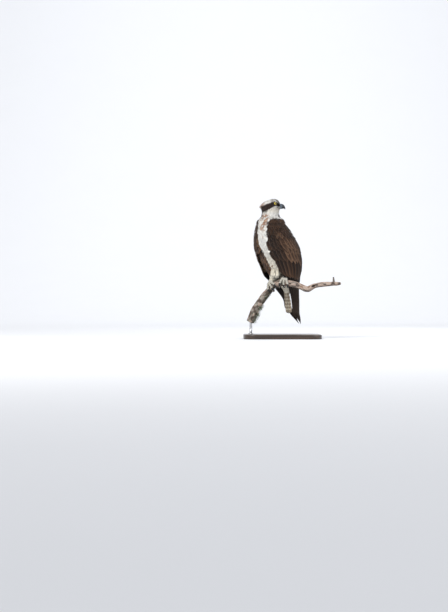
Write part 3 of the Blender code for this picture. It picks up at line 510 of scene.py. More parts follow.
def scatter(verts, quads, wanted, spacing, keep=None):
    """Evenly spaced random points on a mesh, `spacing` a function of the points."""
    tris = np.concatenate([quads[:, [0, 1, 2]], quads[:, [0, 2, 3]]])
    a, b, c = verts[tris[:, 0]], verts[tris[:, 1]], verts[tris[:, 2]]
    area = 0.5 * np.linalg.norm(np.cross(b - a, c - a), axis=1)
    mid = (a + b + c) / 3
    weight = area * wanted(mid)
    weight = weight / np.maximum(spacing(mid), 1e-4)**2
    count = int(weight.sum() * 7)
    pick = rng.choice(len(tris), count, p=weight / weight.sum())
    r1, r2 = np.sqrt(rng.random(count)), rng.random(count)
    p = (1 - r1)[:, None] * a[pick] + (r1 * (1 - r2))[:, None] * b[pick] + (r1 * r2)[:, None] * c[pick]
    r = spacing(p)
    tree = KDTree(count)
    for i, q in enumerate(p):
        tree.insert(q, i)
    tree.balance()
    gone = np.zeros(count, bool)
    chosen = []
    for i in range(count):
        if gone[i]:
            continue
        chosen.append(i)
        for _, j, _ in tree.find_range(p[i], r[i]):
            gone[j] = True
    return p[np.array(chosen, int)]


# ------------------------------------------------------------------ markings
WHITE = np.array((0.89, 0.87, 0.82))
CREAM = np.array((0.80, 0.73, 0.58))
GREYISH = np.array((0.60, 0.56, 0.49))
RUFOUS = np.array((0.37, 0.130, 0.036))
BUFF = np.array((0.46, 0.33, 0.21))
DARK = np.array((0.015, 0.0090, 0.0072))
BROWN = np.array((0.027, 0.0142, 0.0100))
BLACKISH = np.array((0.011, 0.008, 0.007))
FRINGE = np.array((0.185, 0.095, 0.050))

STRIPE = np.array([     # head frame: x, z and half-width of the dark stripe
    (0.0390, -0.0010, 0.0045), (0.0310, 0.0015, 0.0060), (0.0230, 0.0045, 0.0078),
    (0.0150, 0.0055, 0.0092), (0.0040, 0.0025, 0.0108), (-0.0080, -0.0030, 0.0118),
    (-0.0200, -0.0095, 0.0134), (-0.0300, -0.0165, 0.0148), (-0.0360, -0.0245, 0.0150),
    (-0.0385, -0.0350, 0.0150)])
RIGHT_AZ = pchip([(0.250, 112), (0.270, 148), (0.290, 178), (0.315, 195), (0.339, 208)], 1)
LEFT_AZ = pchip([(0.250, 62), (0.270, 78), (0.290, 96), (0.315, 125), (0.339, 150)], 1)


def wrap(a):
    return (a + 180.0) % 360.0 - 180.0


def around(p):
    """Degrees round the body from the breast, positive to the bird's left."""
    return np.degrees(np.arctan2(p[..., 1], p[..., 0] - ENV_C(p[..., 2])))


def stripe_amount(p):
    q = to_head(p)
    best = np.full(p.shape[:-1], 1e9)
    for a, b in zip(STRIPE[:-1], STRIPE[1:]):
        ab = b[:2] - a[:2]
        d = np.stack([q[..., 0], q[..., 2]], -1) - a[:2]
        u = np.clip((d @ ab) / (ab @ ab), 0, 1)
        near = np.linalg.norm(d - u[..., None] * ab, axis=-1)
        best = np.minimum(best, near - (a[2] + (b[2] - a[2]) * u))
    ragged = 0.0016 * (noise(p, 0.0045, 3) - 0.5)
    on_head = step(0.0011, -0.0009, best + ragged) * step(0.0050, 0.0085, np.abs(q[..., 1]))
    on_head = on_head * step(0.300, 0.312, p[..., 2])
    az = np.degrees(np.arctan2(p[..., 1] - 0.001, p[..., 0] - NECK_C(p[..., 2]))) + math.degrees(BODY_YAW)
    z = p[..., 2]
    wide = lerp(21.0, 13.0, step(0.262, 0.325, z)) + 7.0 * (noise(p, 0.007, 5) - 0.5)
    neck = np.maximum(step(wide + 3, wide - 3, np.abs(wrap(az - RIGHT_AZ(z)))),
                      step(wide + 3, wide - 3, np.abs(wrap(az - LEFT_AZ(z)))))
    neck = neck * step(0.343, 0.330, z) * step(0.240, 0.255, z)
    return np.maximum(on_head, neck)


def plumage(p):
    """Base colour, edge colour and edge strength of the feathers at points p."""
    q, z, th = to_head(p), p[..., 2], around(p)
    n1, n2, n3 = noise(p, 0.011, 1), noise(p, 0.005, 2), noise(p, 0.030, 4)
    col = lerp(WHITE, CREAM, (step(0.175, 0.075, z) * 0.75)[..., None])
    col = col * (0.965 + 0.07 * n1)[..., None]
    edge = np.broadcast_to(np.array((0.84, 0.81, 0.76)), col.shape).copy()
    fringe = np.full(z.shape, 0.35)

    # rufous and brown blotches on the upper breast, closing to a point below
    half = 33.0 * np.clip((z - 0.206) / (0.288 - 0.206), 0, 1) ** 0.8
    near = step(1.20, 0.55, np.abs(wrap(th - 4.0)) / np.maximum(half, 0.5)) * step(0.310, 0.294, z)
    spot = near * step(0.44, 0.60, 0.30 * n1 + 0.70 * noise(p, 0.0042, 8))
    rust = lerp(np.array((0.50, 0.245, 0.095)), np.array((0.26, 0.095, 0.032)), n2[..., None])
    col = lerp(col, rust, (0.88 * spot)[..., None])

    edge = lerp(edge, rust * 1.1, (0.60 * spot)[..., None])

    # crown: fine dusky streaks; nape: buff and rufous tips
    crown = step(0.004, 0.014, q[..., 2]) * step(0.300, 0.315, z)
    brow = step(-0.010, 0.010, q[..., 0])
    col = lerp(col, np.array((0.15, 0.115, 0.095)), (crown * (0.35 + 0.45 * brow)
                                                     * step(0.56 - 0.14 * brow, 0.72 - 0.10 * brow, n2))[..., None])
    nape = step(-0.024, -0.038, q[..., 0]) * step(0.318, 0.328, z)
    col = lerp(col, lerp(np.array((0.50, 0.36, 0.30)), RUFOUS, step(0.4, 0.7, n2)[..., None]),
               (0.75 * nape)[..., None])
    # soft grey-beige shade on cheek and throat
    cheek = step(-0.004, -0.018, q[..., 2]) * step(0.298, 0.315, z)
    col = lerp(col, np.array((0.74, 0.66, 0.51)), (0.55 * cheek * (0.5 + n1))[..., None])
    gape = np.exp(-(((q[..., 0] - 0.027) / 0.0035)**2 + ((q[..., 2] + 0.0088) / 0.0026)**2))
    col = lerp(col, DARK * 1.6, (0.85 * gape * step(0.30, 0.31, z))[..., None])

    # back, mantle and rump
    lead = EDGE_LEAD(z) + np.where(th > 0, SWING(z), -SWING(z))
    back = step(lead - 1.0, lead + 3.0, np.abs(th)) * step(0.2790, 0.2760, z)
    az = wrap(th + math.degrees(BODY_YAW) - 47.0)
    mantle = step(80.0, 70.0, np.abs(az)) * step(0.302, 0.294, z) * step(0.20, 0.24, z)
    rump = step(104.0, 116.0, np.abs(th)) * step(0.036, 0.028, z)
    under = step(0.034, 0.026, z)
    dark = np.clip(np.maximum(np.maximum(back * (1 - under), mantle), rump), 0, 1)
    brown = lerp(BROWN, DARK, n3[..., None]) * (0.75 + 0.55 * n1)[..., None]
    col = lerp(col, brown, dark[..., None])
    edge = lerp(edge, FRINGE * (0.65 + 0.8 * n2)[..., None], dark[..., None])
    fringe = lerp(fringe, 0.35 + 0.45 * n1, dark)

    stripe = stripe_amount(p)
    col = lerp(col, np.array((0.025, 0.0140, 0.0100)) * (0.75 + 0.6 * n2)[..., None], stripe[..., None])
    edge = lerp(edge, BROWN * 1.7, stripe[..., None])
    return col, edge, fringe, np.maximum(dark, stripe)


# ----------------------------------------------------------------- materials
def node(nt, kind, **values):
    n = nt.nodes.new(kind)
    for k, v in values.items():
        if k in n.inputs:
            n.inputs[k].default_value = v
        else:
            setattr(n, k, v)
    return n


def material(name, rough, metal=0.0, **fixed):
    m = bpy.data.materials.new(name)
    m.use_nodes = True
    nt = m.node_tree
    b = nt.nodes["Principled BSDF"]
    b.inputs["Roughness"].default_value = rough
    b.inputs["Metallic"].default_value = metal
    for k, v in fixed.items():
        b.inputs[k.replace("_", " ")].default_value = v
    return m, nt, b


def attribute(nt, name):
    return node(nt, "ShaderNodeAttribute", attribute_name=name, attribute_type="GEOMETRY")


def mixer(nt, a, b, fac, blend="MIX"):
    n = nt.nodes.new("ShaderNodeMix")
    n.data_type, n.blend_type = "RGBA", blend
    for socket, value in ((n.inputs[0], fac), (n.inputs[6], a), (n.inputs[7], b)):
        if isinstance(value, bpy.types.NodeSocket):
            nt.links.new(value, socket)
        else:
            socket.default_value = value
    return n.outputs[2]


def calc(nt, op, a, b=0.0, clamp=False):
    n = nt.nodes.new("ShaderNodeMath")
    n.operation, n.use_clamp = op, clamp
    for socket, value in ((n.inputs[0], a), (n.inputs[1], b)):
        if isinstance(value, bpy.types.NodeSocket):
            nt.links.new(value, socket)
        else:
            socket.default_value = value
    return n.outputs[0]


def spread(nt, value, lo, hi, a=0.0, b=1.0):
    n = nt.nodes.new("ShaderNodeMapRange")
    nt.links.new(value, n.inputs[0])
    for i, v in enumerate((lo, hi, a, b)):
        n.inputs[i + 1].default_value = v
    return n.outputs[0]


def bumped(nt, b, height, strength, distance):
    n = node(nt, "ShaderNodeBump", Strength=strength, Distance=distance)
    nt.links.new(height, n.inputs["Height"])
    nt.links.new(n.outputs[0], b.inputs["Normal"])


def grey(v):
    return (v, v, v, 1)


def feather_material(name, rough, barb, sheen):
    """Vane with slanting barbs and a rachis, tinted by the coat's markings."""
    m, nt, b = material(name, rough, Specular_IOR_Level=0.12, Sheen_Weight=sheen, Sheen_Roughness=0.5)
    tint, vane = attribute(nt, "tint"), attribute(nt, "vane")
    xyz = nt.nodes.new("ShaderNodeSeparateXYZ")
    nt.links.new(vane.outputs["Vector"], xyz.inputs[0])
    side = calc(nt, "ABSOLUTE", xyz.outputs[0])
    phase = calc(nt, "MULTIPLY", calc(nt, "SUBTRACT", xyz.outputs[1], calc(nt, "MULTIPLY", side, 1.25)),
                 2 * math.pi / barb)
    wave = calc(nt, "SINE", calc(nt, "ADD", phase, calc(nt, "MULTIPLY", xyz.outputs[2], 40.0)))
    coord = nt.nodes.new("ShaderNodeTexCoord")
    fine = node(nt, "ShaderNodeTexNoise", Scale=420.0, Detail=4.0, Roughness=0.6)
    nt.links.new(coord.outputs["Object"], fine.inputs["Vector"])
    tone = calc(nt, "MULTIPLY", spread(nt, fine.outputs[0], 0.3, 0.7, 0.90, 1.08),
                spread(nt, wave, -1, 1, 0.93, 1.03))
    tone = calc(nt, "MULTIPLY", tone, spread(nt, xyz.outputs[2], 0, 1, 0.90, 1.07))
    shade = nt.nodes.new("ShaderNodeCombineColor")
    for i in range(3):
        nt.links.new(tone, shade.inputs[i])
    nt.links.new(mixer(nt, tint.outputs["Color"], shade.outputs[0], 1.0, "MULTIPLY"), b.inputs["Base Color"])
    height = calc(nt, "ADD", calc(nt, "MULTIPLY", wave, 0.5), calc(nt, "MULTIPLY", fine.outputs[0], 0.8))
    bumped(nt, b, height, 0.35, 0.00018)
    return m


SOFT = feather_material("soft_feathers", 0.88, 0.0011, 0.12)
STIFF = feather_material("stiff_feathers", 0.62, 0.0014, 0.05)


def tinted(name, rough, scale, amount, bump, distance, **fixed):
    m, nt, b = material(name, rough, **fixed)
    tint, coord = attribute(nt, "tint"), nt.nodes.new("ShaderNodeTexCoord")
    fine = node(nt, "ShaderNodeTexNoise", Scale=scale, Detail=5.0, Roughness=0.6)
    nt.links.new(coord.outputs["Object"], fine.inputs["Vector"])
    shade = nt.nodes.new("ShaderNodeCombineColor")
    tone = spread(nt, fine.outputs[0], 0.3, 0.7, 1 - amount, 1 + amount * 0.6)
    for i in range(3):
        nt.links.new(tone, shade.inputs[i])
    nt.links.new(mixer(nt, tint.outputs["Color"], shade.outputs[0], 1.0, "MULTIPLY"), b.inputs["Base Color"])
    bumped(nt, b, fine.outputs[0], bump, distance)
    return m, nt, b


# ---------------------------------------------------------------------- skin
def flesh(p):
    """The bird's skin: the coat's outside drawn in, with sockets for the eyes."""
    f = coat_field(p) + coat_depth(p)
    q = to_head(p)
    near = np.abs(q[..., 2]) < 0.03
    if near.any():
        h = q[near]
        ball = np.minimum(np.linalg.norm(h - EYE_AT, axis=-1),
                          np.linalg.norm(h - EYE_AT * (1, -1, 1), axis=-1)) - (EYE_R + 0.0004)
        f[near] = smax(smax(f[near], -ball, 0.0012), h[..., 0] - 0.0400, 0.002)
    return f


xs = np.unique(np.concatenate([np.arange(-0.112, -0.004, 0.0036), np.arange(-0.004, 0.104, 0.0022)]))
ys = np.unique(np.concatenate([np.arange(-0.112, -0.052, 0.0034), np.arange(-0.052, 0.060, 0.0022),
                               np.arange(0.060, 0.114, 0.0034)]))
zs = np.unique(np.concatenate([np.arange(-0.064, 0.296, 0.0042), np.arange(0.296, 0.378, 0.0018)]))
skin_v, skin_q = surface_nets(flesh, xs, ys, zs)


def unwrap(p):
    """A place on the skin's own unwrap: round the body and up it, the head apart."""
    z = p[..., 2]
    q = to_head(p)
    u = (np.arctan2(p[..., 1], p[..., 0] - np.where(z > 0.285, NECK_C(z), ENV_C(z))) / (2 * math.pi)) % 1.0
    head = z > 0.316
    hu = (np.arctan2(q[..., 1], q[..., 2] + 0.006) / (2 * math.pi)) % 1.0
    hv = np.clip((q[..., 0] + 0.055) / 0.100, 0, 1)
    return np.stack([0.01 + 0.98 * np.where(head, hu, u),
                     np.where(head, 0.66 + 0.33 * hv, 0.01 + 0.63 * np.clip((z + 0.20) / 0.52, 0, 1))], -1)


skin_colour = plumage(skin_v)[0] * 0.80
SKIN, _, _ = tinted("skin", 0.85, 300.0, 0.10, 0.3, 0.0004, Specular_IOR_Level=0.25)
make("skin", to_world(skin_v), skin_q, SKIN, skin_colour,
     replaces=("trunk", "neck", "head", "thigh_left", "thigh_right", "wing_left", "wing_right"))


# ---------------------------------------------------------------- body coat
def lay(p):
    """Which way the coat lies: back from the bill, then down neck and body."""
    q, z = to_head(p), p[..., 2]
    h = np.zeros(p.shape)
    h[..., 0] = -1.0
    h[..., 1] = 0.25 * np.sign(q[..., 1]) * step(0.0, 0.02, q[..., 0])
    h[..., 2] = -0.10 - 0.95 * step(0.004, -0.022, q[..., 2]) - 0.9 * step(-0.022, -0.042, q[..., 0])
    h = unit(spin(h, TURN))
    b = np.zeros(p.shape)
    b[..., 2] = -1.0
    b[..., 1] = 0.9 * p[..., 1]
    b[..., 0] = -0.30 * step(0.15, 0.03, z)
    w = step(0.312, 0.334, z)[..., None]
    return unit(lerp(unit(b), h, w))


def side_lead(p):
    z, th = p[..., 2], around(p)
    return EDGE_LEAD(z) + np.where(th > 0, SWING(z), -SWING(z))


def on_wing(p):
    z, th = p[..., 2], around(p)
    inside = (np.abs(th) > side_lead(p) + 1.5) & (np.abs(th) < EDGE_BACK(z) - 3.0)
    return inside & (z < 0.274) & (z > 0.010)


def face(p):
    q = to_head(p)
    return step(-0.012, 0.030, q[..., 0]) * step(0.300, 0.314, p[..., 2])


def lid_clear(p):
    """False where the eye and its lids are."""
    q = to_head(p)
    q[..., 1] = np.abs(q[..., 1])
    centre = EYE_AT + EYE_AXIS * 0.0060
    d = q - centre
    flat = d - (d @ EYE_AXIS)[..., None] * EYE_AXIS
    return (np.linalg.norm(flat, axis=-1) > 0.0084) | ((d @ EYE_AXIS) < -0.009)


EYE_AXIS = unit(np.array((0.38, 0.90, 0.16)))


def spacing(p):
    z = p[..., 2]
    head = step(0.312, 0.330, z)
    s = lerp(0.0056, 0.0037, step(0.262, 0.305, z))
    s = lerp(s, 0.0025, head)
    s = lerp(s, 0.00155, face(p))
    low = step(0.095, 0.055, z)
    return lerp(s, 0.0042, low)


def sizes(p):
    """Length and half-width of a feather."""
    z, q = p[..., 2], to_head(p)
    head = step(0.312, 0.330, z)
    L = lerp(0.0270, 0.0170, step(0.255, 0.300, z))
    L = lerp(L, 0.0105, head)
    L = lerp(L, 0.0042, face(p))
    L = L + 0.0070 * step(-0.020, -0.036, q[..., 0]) * head
    low = step(0.095, 0.055, z)
    L = lerp(L, 0.0220, low)
    back = (np.abs(around(p)) > 95) & (z < 0.300) & (z > 0.10)
    L = np.where(back, 0.034, L)
    return L, np.where(back, 0.0086, spacing(p) * 1.08)


def coat(name, p, rows, J, slot="white_plumage", field=coat_field, lift=0.0004, mat=None, scale=1.0,
         colour=None, depth=None, toward=lay, width=None, tidy=False, **more):
    L, half = sizes(p)
    if width is not None:
        half = width
    L = L * scale * (0.88 + 0.24 * rng.random(len(p)))
    half = half * (0.88 + 0.24 * rng.random(len(p)))
    dep = coat_depth(p) if depth is None else np.full(len(p), depth)
    yaw = rng.normal(0, 0.11, len(p))

    def way(at):
        d = toward(at)
        return d + yaw[:, None] * np.cross(d, unit(at - CORE(at)))
    P, D, N = grow(field, p, L, dep, lift + 0.0005 * (rng.random(len(p)) - 0.3), rows, way)
    step_len = np.linalg.norm(np.diff(P, axis=1), axis=-1) * (rows - 1)
    good = (step_len < 2.2 * L[:, None]).all(1) & (field(P) < 0.0040).all(1)   # no strays at sharp edges
    if tidy:                               # white tips stay off the left wing
        end = P[:, -1]
        good &= (around(end) < side_lead(end) + 0.5) | (end[:, 2] < 0.05) | (end[:, 2] > 0.255)
    p, P, D, N, half = (t[good] for t in (p, P, D, N, half))
    base, edge, fringe, dark = plumage(P[:, (rows * 3) // 4])
    if colour is not None:
        base, edge, fringe = colour(P[:, (rows * 3) // 4], base, edge, fringe)
    base = base * (0.92 + 0.14 * rng.random(len(p)))[:, None]
    thick = 0.00018 + 0.014 * half
    out = vanes(P, D, N, half, thick, base, edge, fringe, unwrap(p), J=J, **more)
    return make(name, to_world(out[0]), out[1], mat or SOFT, out[2], out[3], out[4])


def CORE(p):
    c = np.zeros(p.shape)
    c[..., 0] = np.where(p[..., 2] > 0.30, NECK_C(p[..., 2]), ENV_C(p[..., 2]))
    c[..., 2] = p[..., 2] - 0.02
    return c


def inner_low(p):
    """The right wing's lower front, which faces the breast."""
    z, th = p[..., 2], around(p)
    return (th < 0) & (np.abs(th) < side_lead(p) + 80.0) & (z < 0.140) & (z > 0.012)


def scallops(p, base, edge, fringe):
    """Orange-brown edges on the dark feathers beside the breast, on the right."""
    dark = (base.mean(-1) < 0.15) & (around(p) < 0)
    n = noise(p, 0.010, 61)[:, None]
    rim = lerp(FRINGE * 0.7, np.array((0.46, 0.25, 0.12)), step(0.35, 0.65, n))
    return (np.where(dark[:, None], lerp(base, BROWN * 1.5, 0.6), base), np.where(dark[:, None], rim, edge),
            np.where(dark, 0.45 + 0.45 * n[:, 0], fringe))


allowed = lambda p: ((~on_wing(p) | inner_low(p)) & (to_head(p)[..., 0] < 0.0395) & lid_clear(p)).astype(float)
roots = scatter(skin_v, skin_q, allowed, spacing)
roots = roots[allowed(roots) > 0]
z = roots[:, 2]
head_part, neck_part = z > 0.316, (z <= 0.316) & (z > 0.262)
front = np.abs(around(roots)) < 90
coat("coat_face", roots[head_part & (face(roots) > 0.25)], 5, 3, camber=0.10, ragged=0.24)
coat("coat_crown", roots[head_part & (face(roots) <= 0.25)], 6, 5, camber=0.10, ragged=0.24)
coat("coat_neck", roots[neck_part], 6, 5, ragged=0.26)
coat("coat_breast", roots[(z <= 0.262) & (z > 0.10) & front], 8, 5, ragged=0.26, colour=scallops, tidy=True)
coat("coat_back", roots[(z <= 0.262) & ~front], 8, 5, slot="brown_plumage", ragged=0.12)
coat("coat_belly", roots[(z <= 0.10) & front], 7, 5, ragged=0.26, colour=scallops, tidy=True)

# cream feathers that hang from the belly in front of the shanks, down to the branch
hang = roots[(z < 0.066) & (z > 0.022) & (np.abs(around(roots) - 2) < 50)]
hang = hang[plumage(hang)[3] < 0.3]
hang = np.repeat(hang, 2, axis=0) + rng.normal(0, 0.0012, (2 * len(hang), 3))
u = np.linspace(0, 1, 9)
out = hang - CORE(hang)
out[:, 2] = 0
out = unit(out)
drop = unit(np.array((0, 0, -1.0)) + 0.05 * out + rng.normal(0, 0.05, hang.shape) * (1, 1, 0))
reach = np.clip(hang[:, 2] + 0.006, 0.010, 0.036) * (0.70 + 0.35 * rng.random(len(hang)))
P = hang[:, None] + drop[:, None] * (reach[:, None] * u)[..., None]
P = P + out[:, None] * (0.0040 * np.sin(u * 2.2))[None, :, None]
touch = np.cumsum(branch_room(P, 0.0020, 1.0) > 0, axis=1) > 0
free = np.where(touch.any(1), np.maximum(np.argmax(touch, axis=1) - 1, 0), len(u) - 1) / (len(u) - 1)
keep = free > 0.3
hang, drop, out, reach, free = (t[keep] for t in (hang, drop, out, reach, free))
P = hang[:, None] + drop[:, None] * ((reach * free)[:, None] * u)[..., None]
P = P + out[:, None] * (0.0040 * np.sin(u * 2.2))[None, :, None]
D = unit(np.gradient(P, axis=1))
N = np.broadcast_to(out[:, None], P.shape)
N = unit(N - (N * D).sum(-1, keepdims=True) * D)
base = np.tile(CREAM, (len(P), 1)) * (0.90 + 0.12 * rng.random((len(P), 1)))
res = vanes(P, D, N, 0.0056 + 0.0016 * rng.random(len(P)), np.full(len(P), 0.00026), base,
            np.tile(WHITE, (len(P), 1)), np.full(len(P), 0.4), unwrap(hang), J=5, ragged=0.20)
make("coat_vent", to_world(res[0]), res[1], SOFT, res[2], res[3], res[4])
print("hanging feathers", len(P))
print("body feathers", len(roots))

# --------------------------------------------------------- the folded wings
def wing_field(p):
    return np.where(p[..., 2] > 0.05, outline_field(p), low_field(p))


def table(side):
    """Radius of the folded wing's outside, by height and by share across it."""
    zt = np.linspace(Z_TIP, Z_WING_TOP, 150)
    at = np.linspace(-0.06, 1.06, 46)
    sign = 1.0 if side == "left" else -1.0
    lead = EDGE_LEAD(zt) + sign * SWING(zt)
    if side == "right":
        lead = np.maximum(lead, np.interp(-zt, [0.098, 0.126], [45.0, 118.0]))
    back = EDGE_BACK(zt)
    ang = np.radians(lead[:, None] + at[None] * (back - lead)[:, None]) * sign
    lo, hi = np.full(ang.shape, 0.001), np.full(ang.shape, 0.16)
    for i in range(26):
        mid = 0.5 * (lo + hi) if i else np.full(ang.shape, 0.05)
        p = np.stack([ENV_C(zt)[:, None] + mid * np.cos(ang), mid * np.sin(ang),
                      np.broadcast_to(zt[:, None], ang.shape)], -1)
        out = (wing_field(p) > 0) & ((coat_field(p) > 0) | (at < 0.5)[None, :] | (zt < 0.05)[:, None])
        hi, lo = np.where(out, mid, hi), np.where(out, lo, mid)
    r = 0.5 * (lo + hi)
    for _ in range(3):                     # ease the kinks where legs and branch cut in
        r[1:-1] = 0.25 * r[:-2] + 0.5 * r[1:-1] + 0.25 * r[2:]
        r[:, 1:-1] = 0.25 * r[:, :-2] + 0.5 * r[:, 1:-1] + 0.25 * r[:, 2:]
    return zt, at, lead, back, r, sign


TABLES = {side: table(side) for side in ("left", "right")}
# the left wing's front corner hangs clear of the leg: carry its curve down past it
zt, rl, rr = TABLES["left"][0], TABLES["left"][4], TABLES["right"][4]
from_row = int(np.argmin(np.abs(zt - 0.062)))
share = (step(0.000, 0.022, zt) * (zt < zt[from_row]))[:, None]
rl[:] = lerp(rl, np.maximum(rl, rl[from_row] * rr / rr[from_row]), share)


def wing_at(side, a, z, out):
    zt, at, lead, back, r, sign = TABLES[side]
    a, z = np.broadcast_arrays(np.asarray(a, float), np.asarray(z, float))
    zc = np.clip(z, zt[0], zt[-1])
    fz = (zc - zt[0]) / (zt[1] - zt[0])
    fa = np.clip((a - at[0]) / (at[1] - at[0]), 0, len(at) - 1.001)
    iz, ia = np.clip(fz.astype(int), 0, len(zt) - 2), fa.astype(int)
    uz, ua = fz - iz, fa - ia
    rad = ((r[iz, ia] * (1 - ua) + r[iz, ia + 1] * ua) * (1 - uz)
           + (r[iz + 1, ia] * (1 - ua) + r[iz + 1, ia + 1] * ua) * uz)
    ac = np.clip(a, at[0], at[-1])
    ang = np.radians(np.interp(zc, zt, lead) + ac * np.interp(zc, zt, back - lead)) * sign
    rad = rad + out
    return np.stack([ENV_C(zc) + rad * np.cos(ang), rad * np.sin(ang), z + 0 * rad], -1)


def wing_frame(side, a, z, out):
    e = 0.004
    p = wing_at(side, a, z, out)
    da = wing_at(side, a + e, z, out) - wing_at(side, a - e, z, out)
    dz = wing_at(side, a, z + 0.002, out) - wing_at(side, a, z - 0.002, out)
    n = unit(np.cross(da, dz)) * TABLES[side][5]
    return p, n, np.linalg.norm(da, axis=-1) / (2 * e)


def remiges(side, a0, a1, z0, z1, half, deep, rise, rows=20, J=7, colour=None, edge=None, fringe=0.6,
            name=None, slot="brown_plumage", mat=None, patch=0.003, paint=None, tip=0.0, pointed=0.30,
            replaces=(), stack=0.0011, round_=0.10):
    """A row of long feathers along the folded wing, each hugging its surface."""
    n = len(a0)
    u = np.linspace(0, 1, rows + 1)[None, :]
    sign = TABLES[side][5]
    a = a0[:, None] + (a1 - a0)[:, None] * u**1.3
    z = z0[:, None] + (z1 - z0)[:, None] * u
    out = (deep[:, None] * (1 - u) ** 1.4 + rise[:, None] * u)
    P, N, per = wing_frame(side, a, z, out)
    D = unit(np.gradient(P, axis=1))
    N = unit(N - (N * D).sum(-1, keepdims=True) * D)
    base = np.broadcast_to(colour, (n, 3)) if np.ndim(colour) == 1 else colour
    rim = np.broadcast_to(edge, (n, 3)) if np.ndim(edge) == 1 else edge
    fr = np.broadcast_to(fringe, (n,)).astype(float)
    res = vanes(P, D, N, half, 0.00035 + 0.02 * half, base, rim, fr, unwrap(P[:, 0]), J=J, camber=0.0,
                tip_round=round_, ragged=0.05, paint=paint, patch=patch, pointed=pointed, narrow=0.75)
    # undersides are paler than the upper sides, with soft bars; the right wing's undersides are painted paler
    # still, painted light that lifts the shade they sit in
    tints = res[2].reshape(n, -1, 3).copy()
    first = (rows + 1) * J
    bars = 0.85 + 0.25 * np.sin(np.repeat(np.arange(1, rows), J - 2) * 2.1)
    if paint is None:
        pale = np.array((0.52, 0.36, 0.235)) if side == "right" else np.array((0.33, 0.215, 0.135))
        tints[:, first:] = lerp(tints[:, first:], pale, 0.85) * bars[None, :, None]
    verts = res[0].reshape(n, -1, 3)
    # bend the flat vane round the wing: redo each vertex on the wing's own surface
    x = np.linspace(-1, 1, J)
    K = rows
    across = np.concatenate([np.tile(x, K + 1), np.tile(x[1:-1], K - 1)])
    along = np.concatenate([np.repeat(np.arange(K + 1), J), np.repeat(np.arange(1, K), J - 2)])
    S = unit(np.cross(D, N))
    rel = verts - P[:, along]
    lat = (rel * S[:, along]).sum(-1)
    fwd = (rel * D[:, along]).sum(-1)
    up = (rel * N[:, along]).sum(-1)
    to_back = np.sign((S[:, along] * (wing_at(side, a + 0.01, z, out) - P)[:, along]).sum(-1))
    aa = a[:, along] + lat * to_back / np.maximum(per[:, along], 0.012)
    soft = np.where(aa > 1.0, 1.0 + 0.05 * np.tanh((aa - 1.0) / 0.05), aa)
    soft = np.where(soft < 0.0, -0.05 * np.tanh(-soft / 0.05), soft)
    zz = z[:, along] + fwd * D[:, along, 2]
    lift = out[:, along] + up - stack * lat * to_back / half[:, None]
    verts = wing_at(side, soft, zz, lift)
    return make(name, to_world(verts.reshape(-1, 3)), res[1], mat or STIFF, tints.reshape(-1, 3), res[3],
                res[4], replaces=replaces)


def lay_wing(p):
    th = around(p)
    d = np.zeros(p.shape)
    d[..., 2] = -1.0
    r = np.radians(th)
    turn_back = 0.20 * np.sign(th)
    d[..., 0], d[..., 1] = -turn_back * np.sin(r), turn_back * np.cos(r)
    return unit(d)


def warm(p, base, edge, fringe):
    """Paler and warmer feather edges where the photo shows them."""
    th, z = around(p), p[..., 2]
    pale = step(54, 66, th) * step(112, 96, th) * step(0.02, 0.05, z) * step(0.19, 0.16, z)
    pale = np.maximum(pale, step(44, 50, th) * step(70, 62, th) * step(0.186, 0.194, z)
                      * step(0.216, 0.206, z))
    inner = step(34, 18, -th) * step(0, -4, th) * step(0.03, 0.05, z) * step(0.22, 0.19, z)
    front = step(60, 44, th) * step(18, 25, th) * step(0.222, 0.200, z)
    base = lerp(base, BLACKISH * 1.15, (0.75 * front)[..., None])
    edge = lerp(edge, FRINGE * 0.40, (0.75 * front)[..., None])
    edge = lerp(edge, np.array((0.30, 0.175, 0.105)), (0.75 * pale)[..., None])
    edge = lerp(edge, np.array((0.52, 0.27, 0.12)), (0.85 * inner)[..., None])
    base = lerp(base, np.array((0.070, 0.037, 0.023)), (0.60 * pale)[..., None])
    return base, edge, np.clip(fringe + 0.45 * pale + 0.50 * inner, 0, 1)


def wing_spacing(p):
    return np.interp(p[..., 2], [0.13, 0.19, 0.235, 0.275], [0.0108, 0.0088, 0.0066, 0.0050])


def outermost(p):
    """The body's or the wing's outside, whichever stands further out."""
    return np.minimum(outline_field(p), coat_field(p))


small = lambda p: (on_wing(p) & (p[..., 2] > 0.150)).astype(float)
lesser = scatter(skin_v, skin_q, small, wing_spacing)
for side, sign in (("left", 1), ("right", -1)):
    mine = lesser[lesser[:, 1] * sign > 0]
    w = wing_spacing(mine) * 0.86
    keep_L = sizes(mine)[0]
    scale = (w / 0.86 * 3.1) / keep_L
    coat("coat_lesser_" + side, mine, 8, 5, slot="brown_plumage", field=outermost, lift=0.0006,
         scale=scale, colour=warm, toward=lay_wing, width=w, ragged=0.08, camber=0.13, pointed=0.34,
         tip_round=0.22)
    print("lesser coverts", side, len(mine))


def row_colours(side, a, z, n, base, seed):
    p = wing_at(side, a, z, 0.0)
    b = np.tile(base, (n, 1)) * (0.75 + 0.5 * noise(p + seed, 0.02, 6))[:, None]
    e = np.tile(FRINGE, (n, 1)) * (0.6 + 0.6 * noise(p + seed, 0.017, 7))[:, None]
    return warm(p, b, e, np.full(n, 0.55))


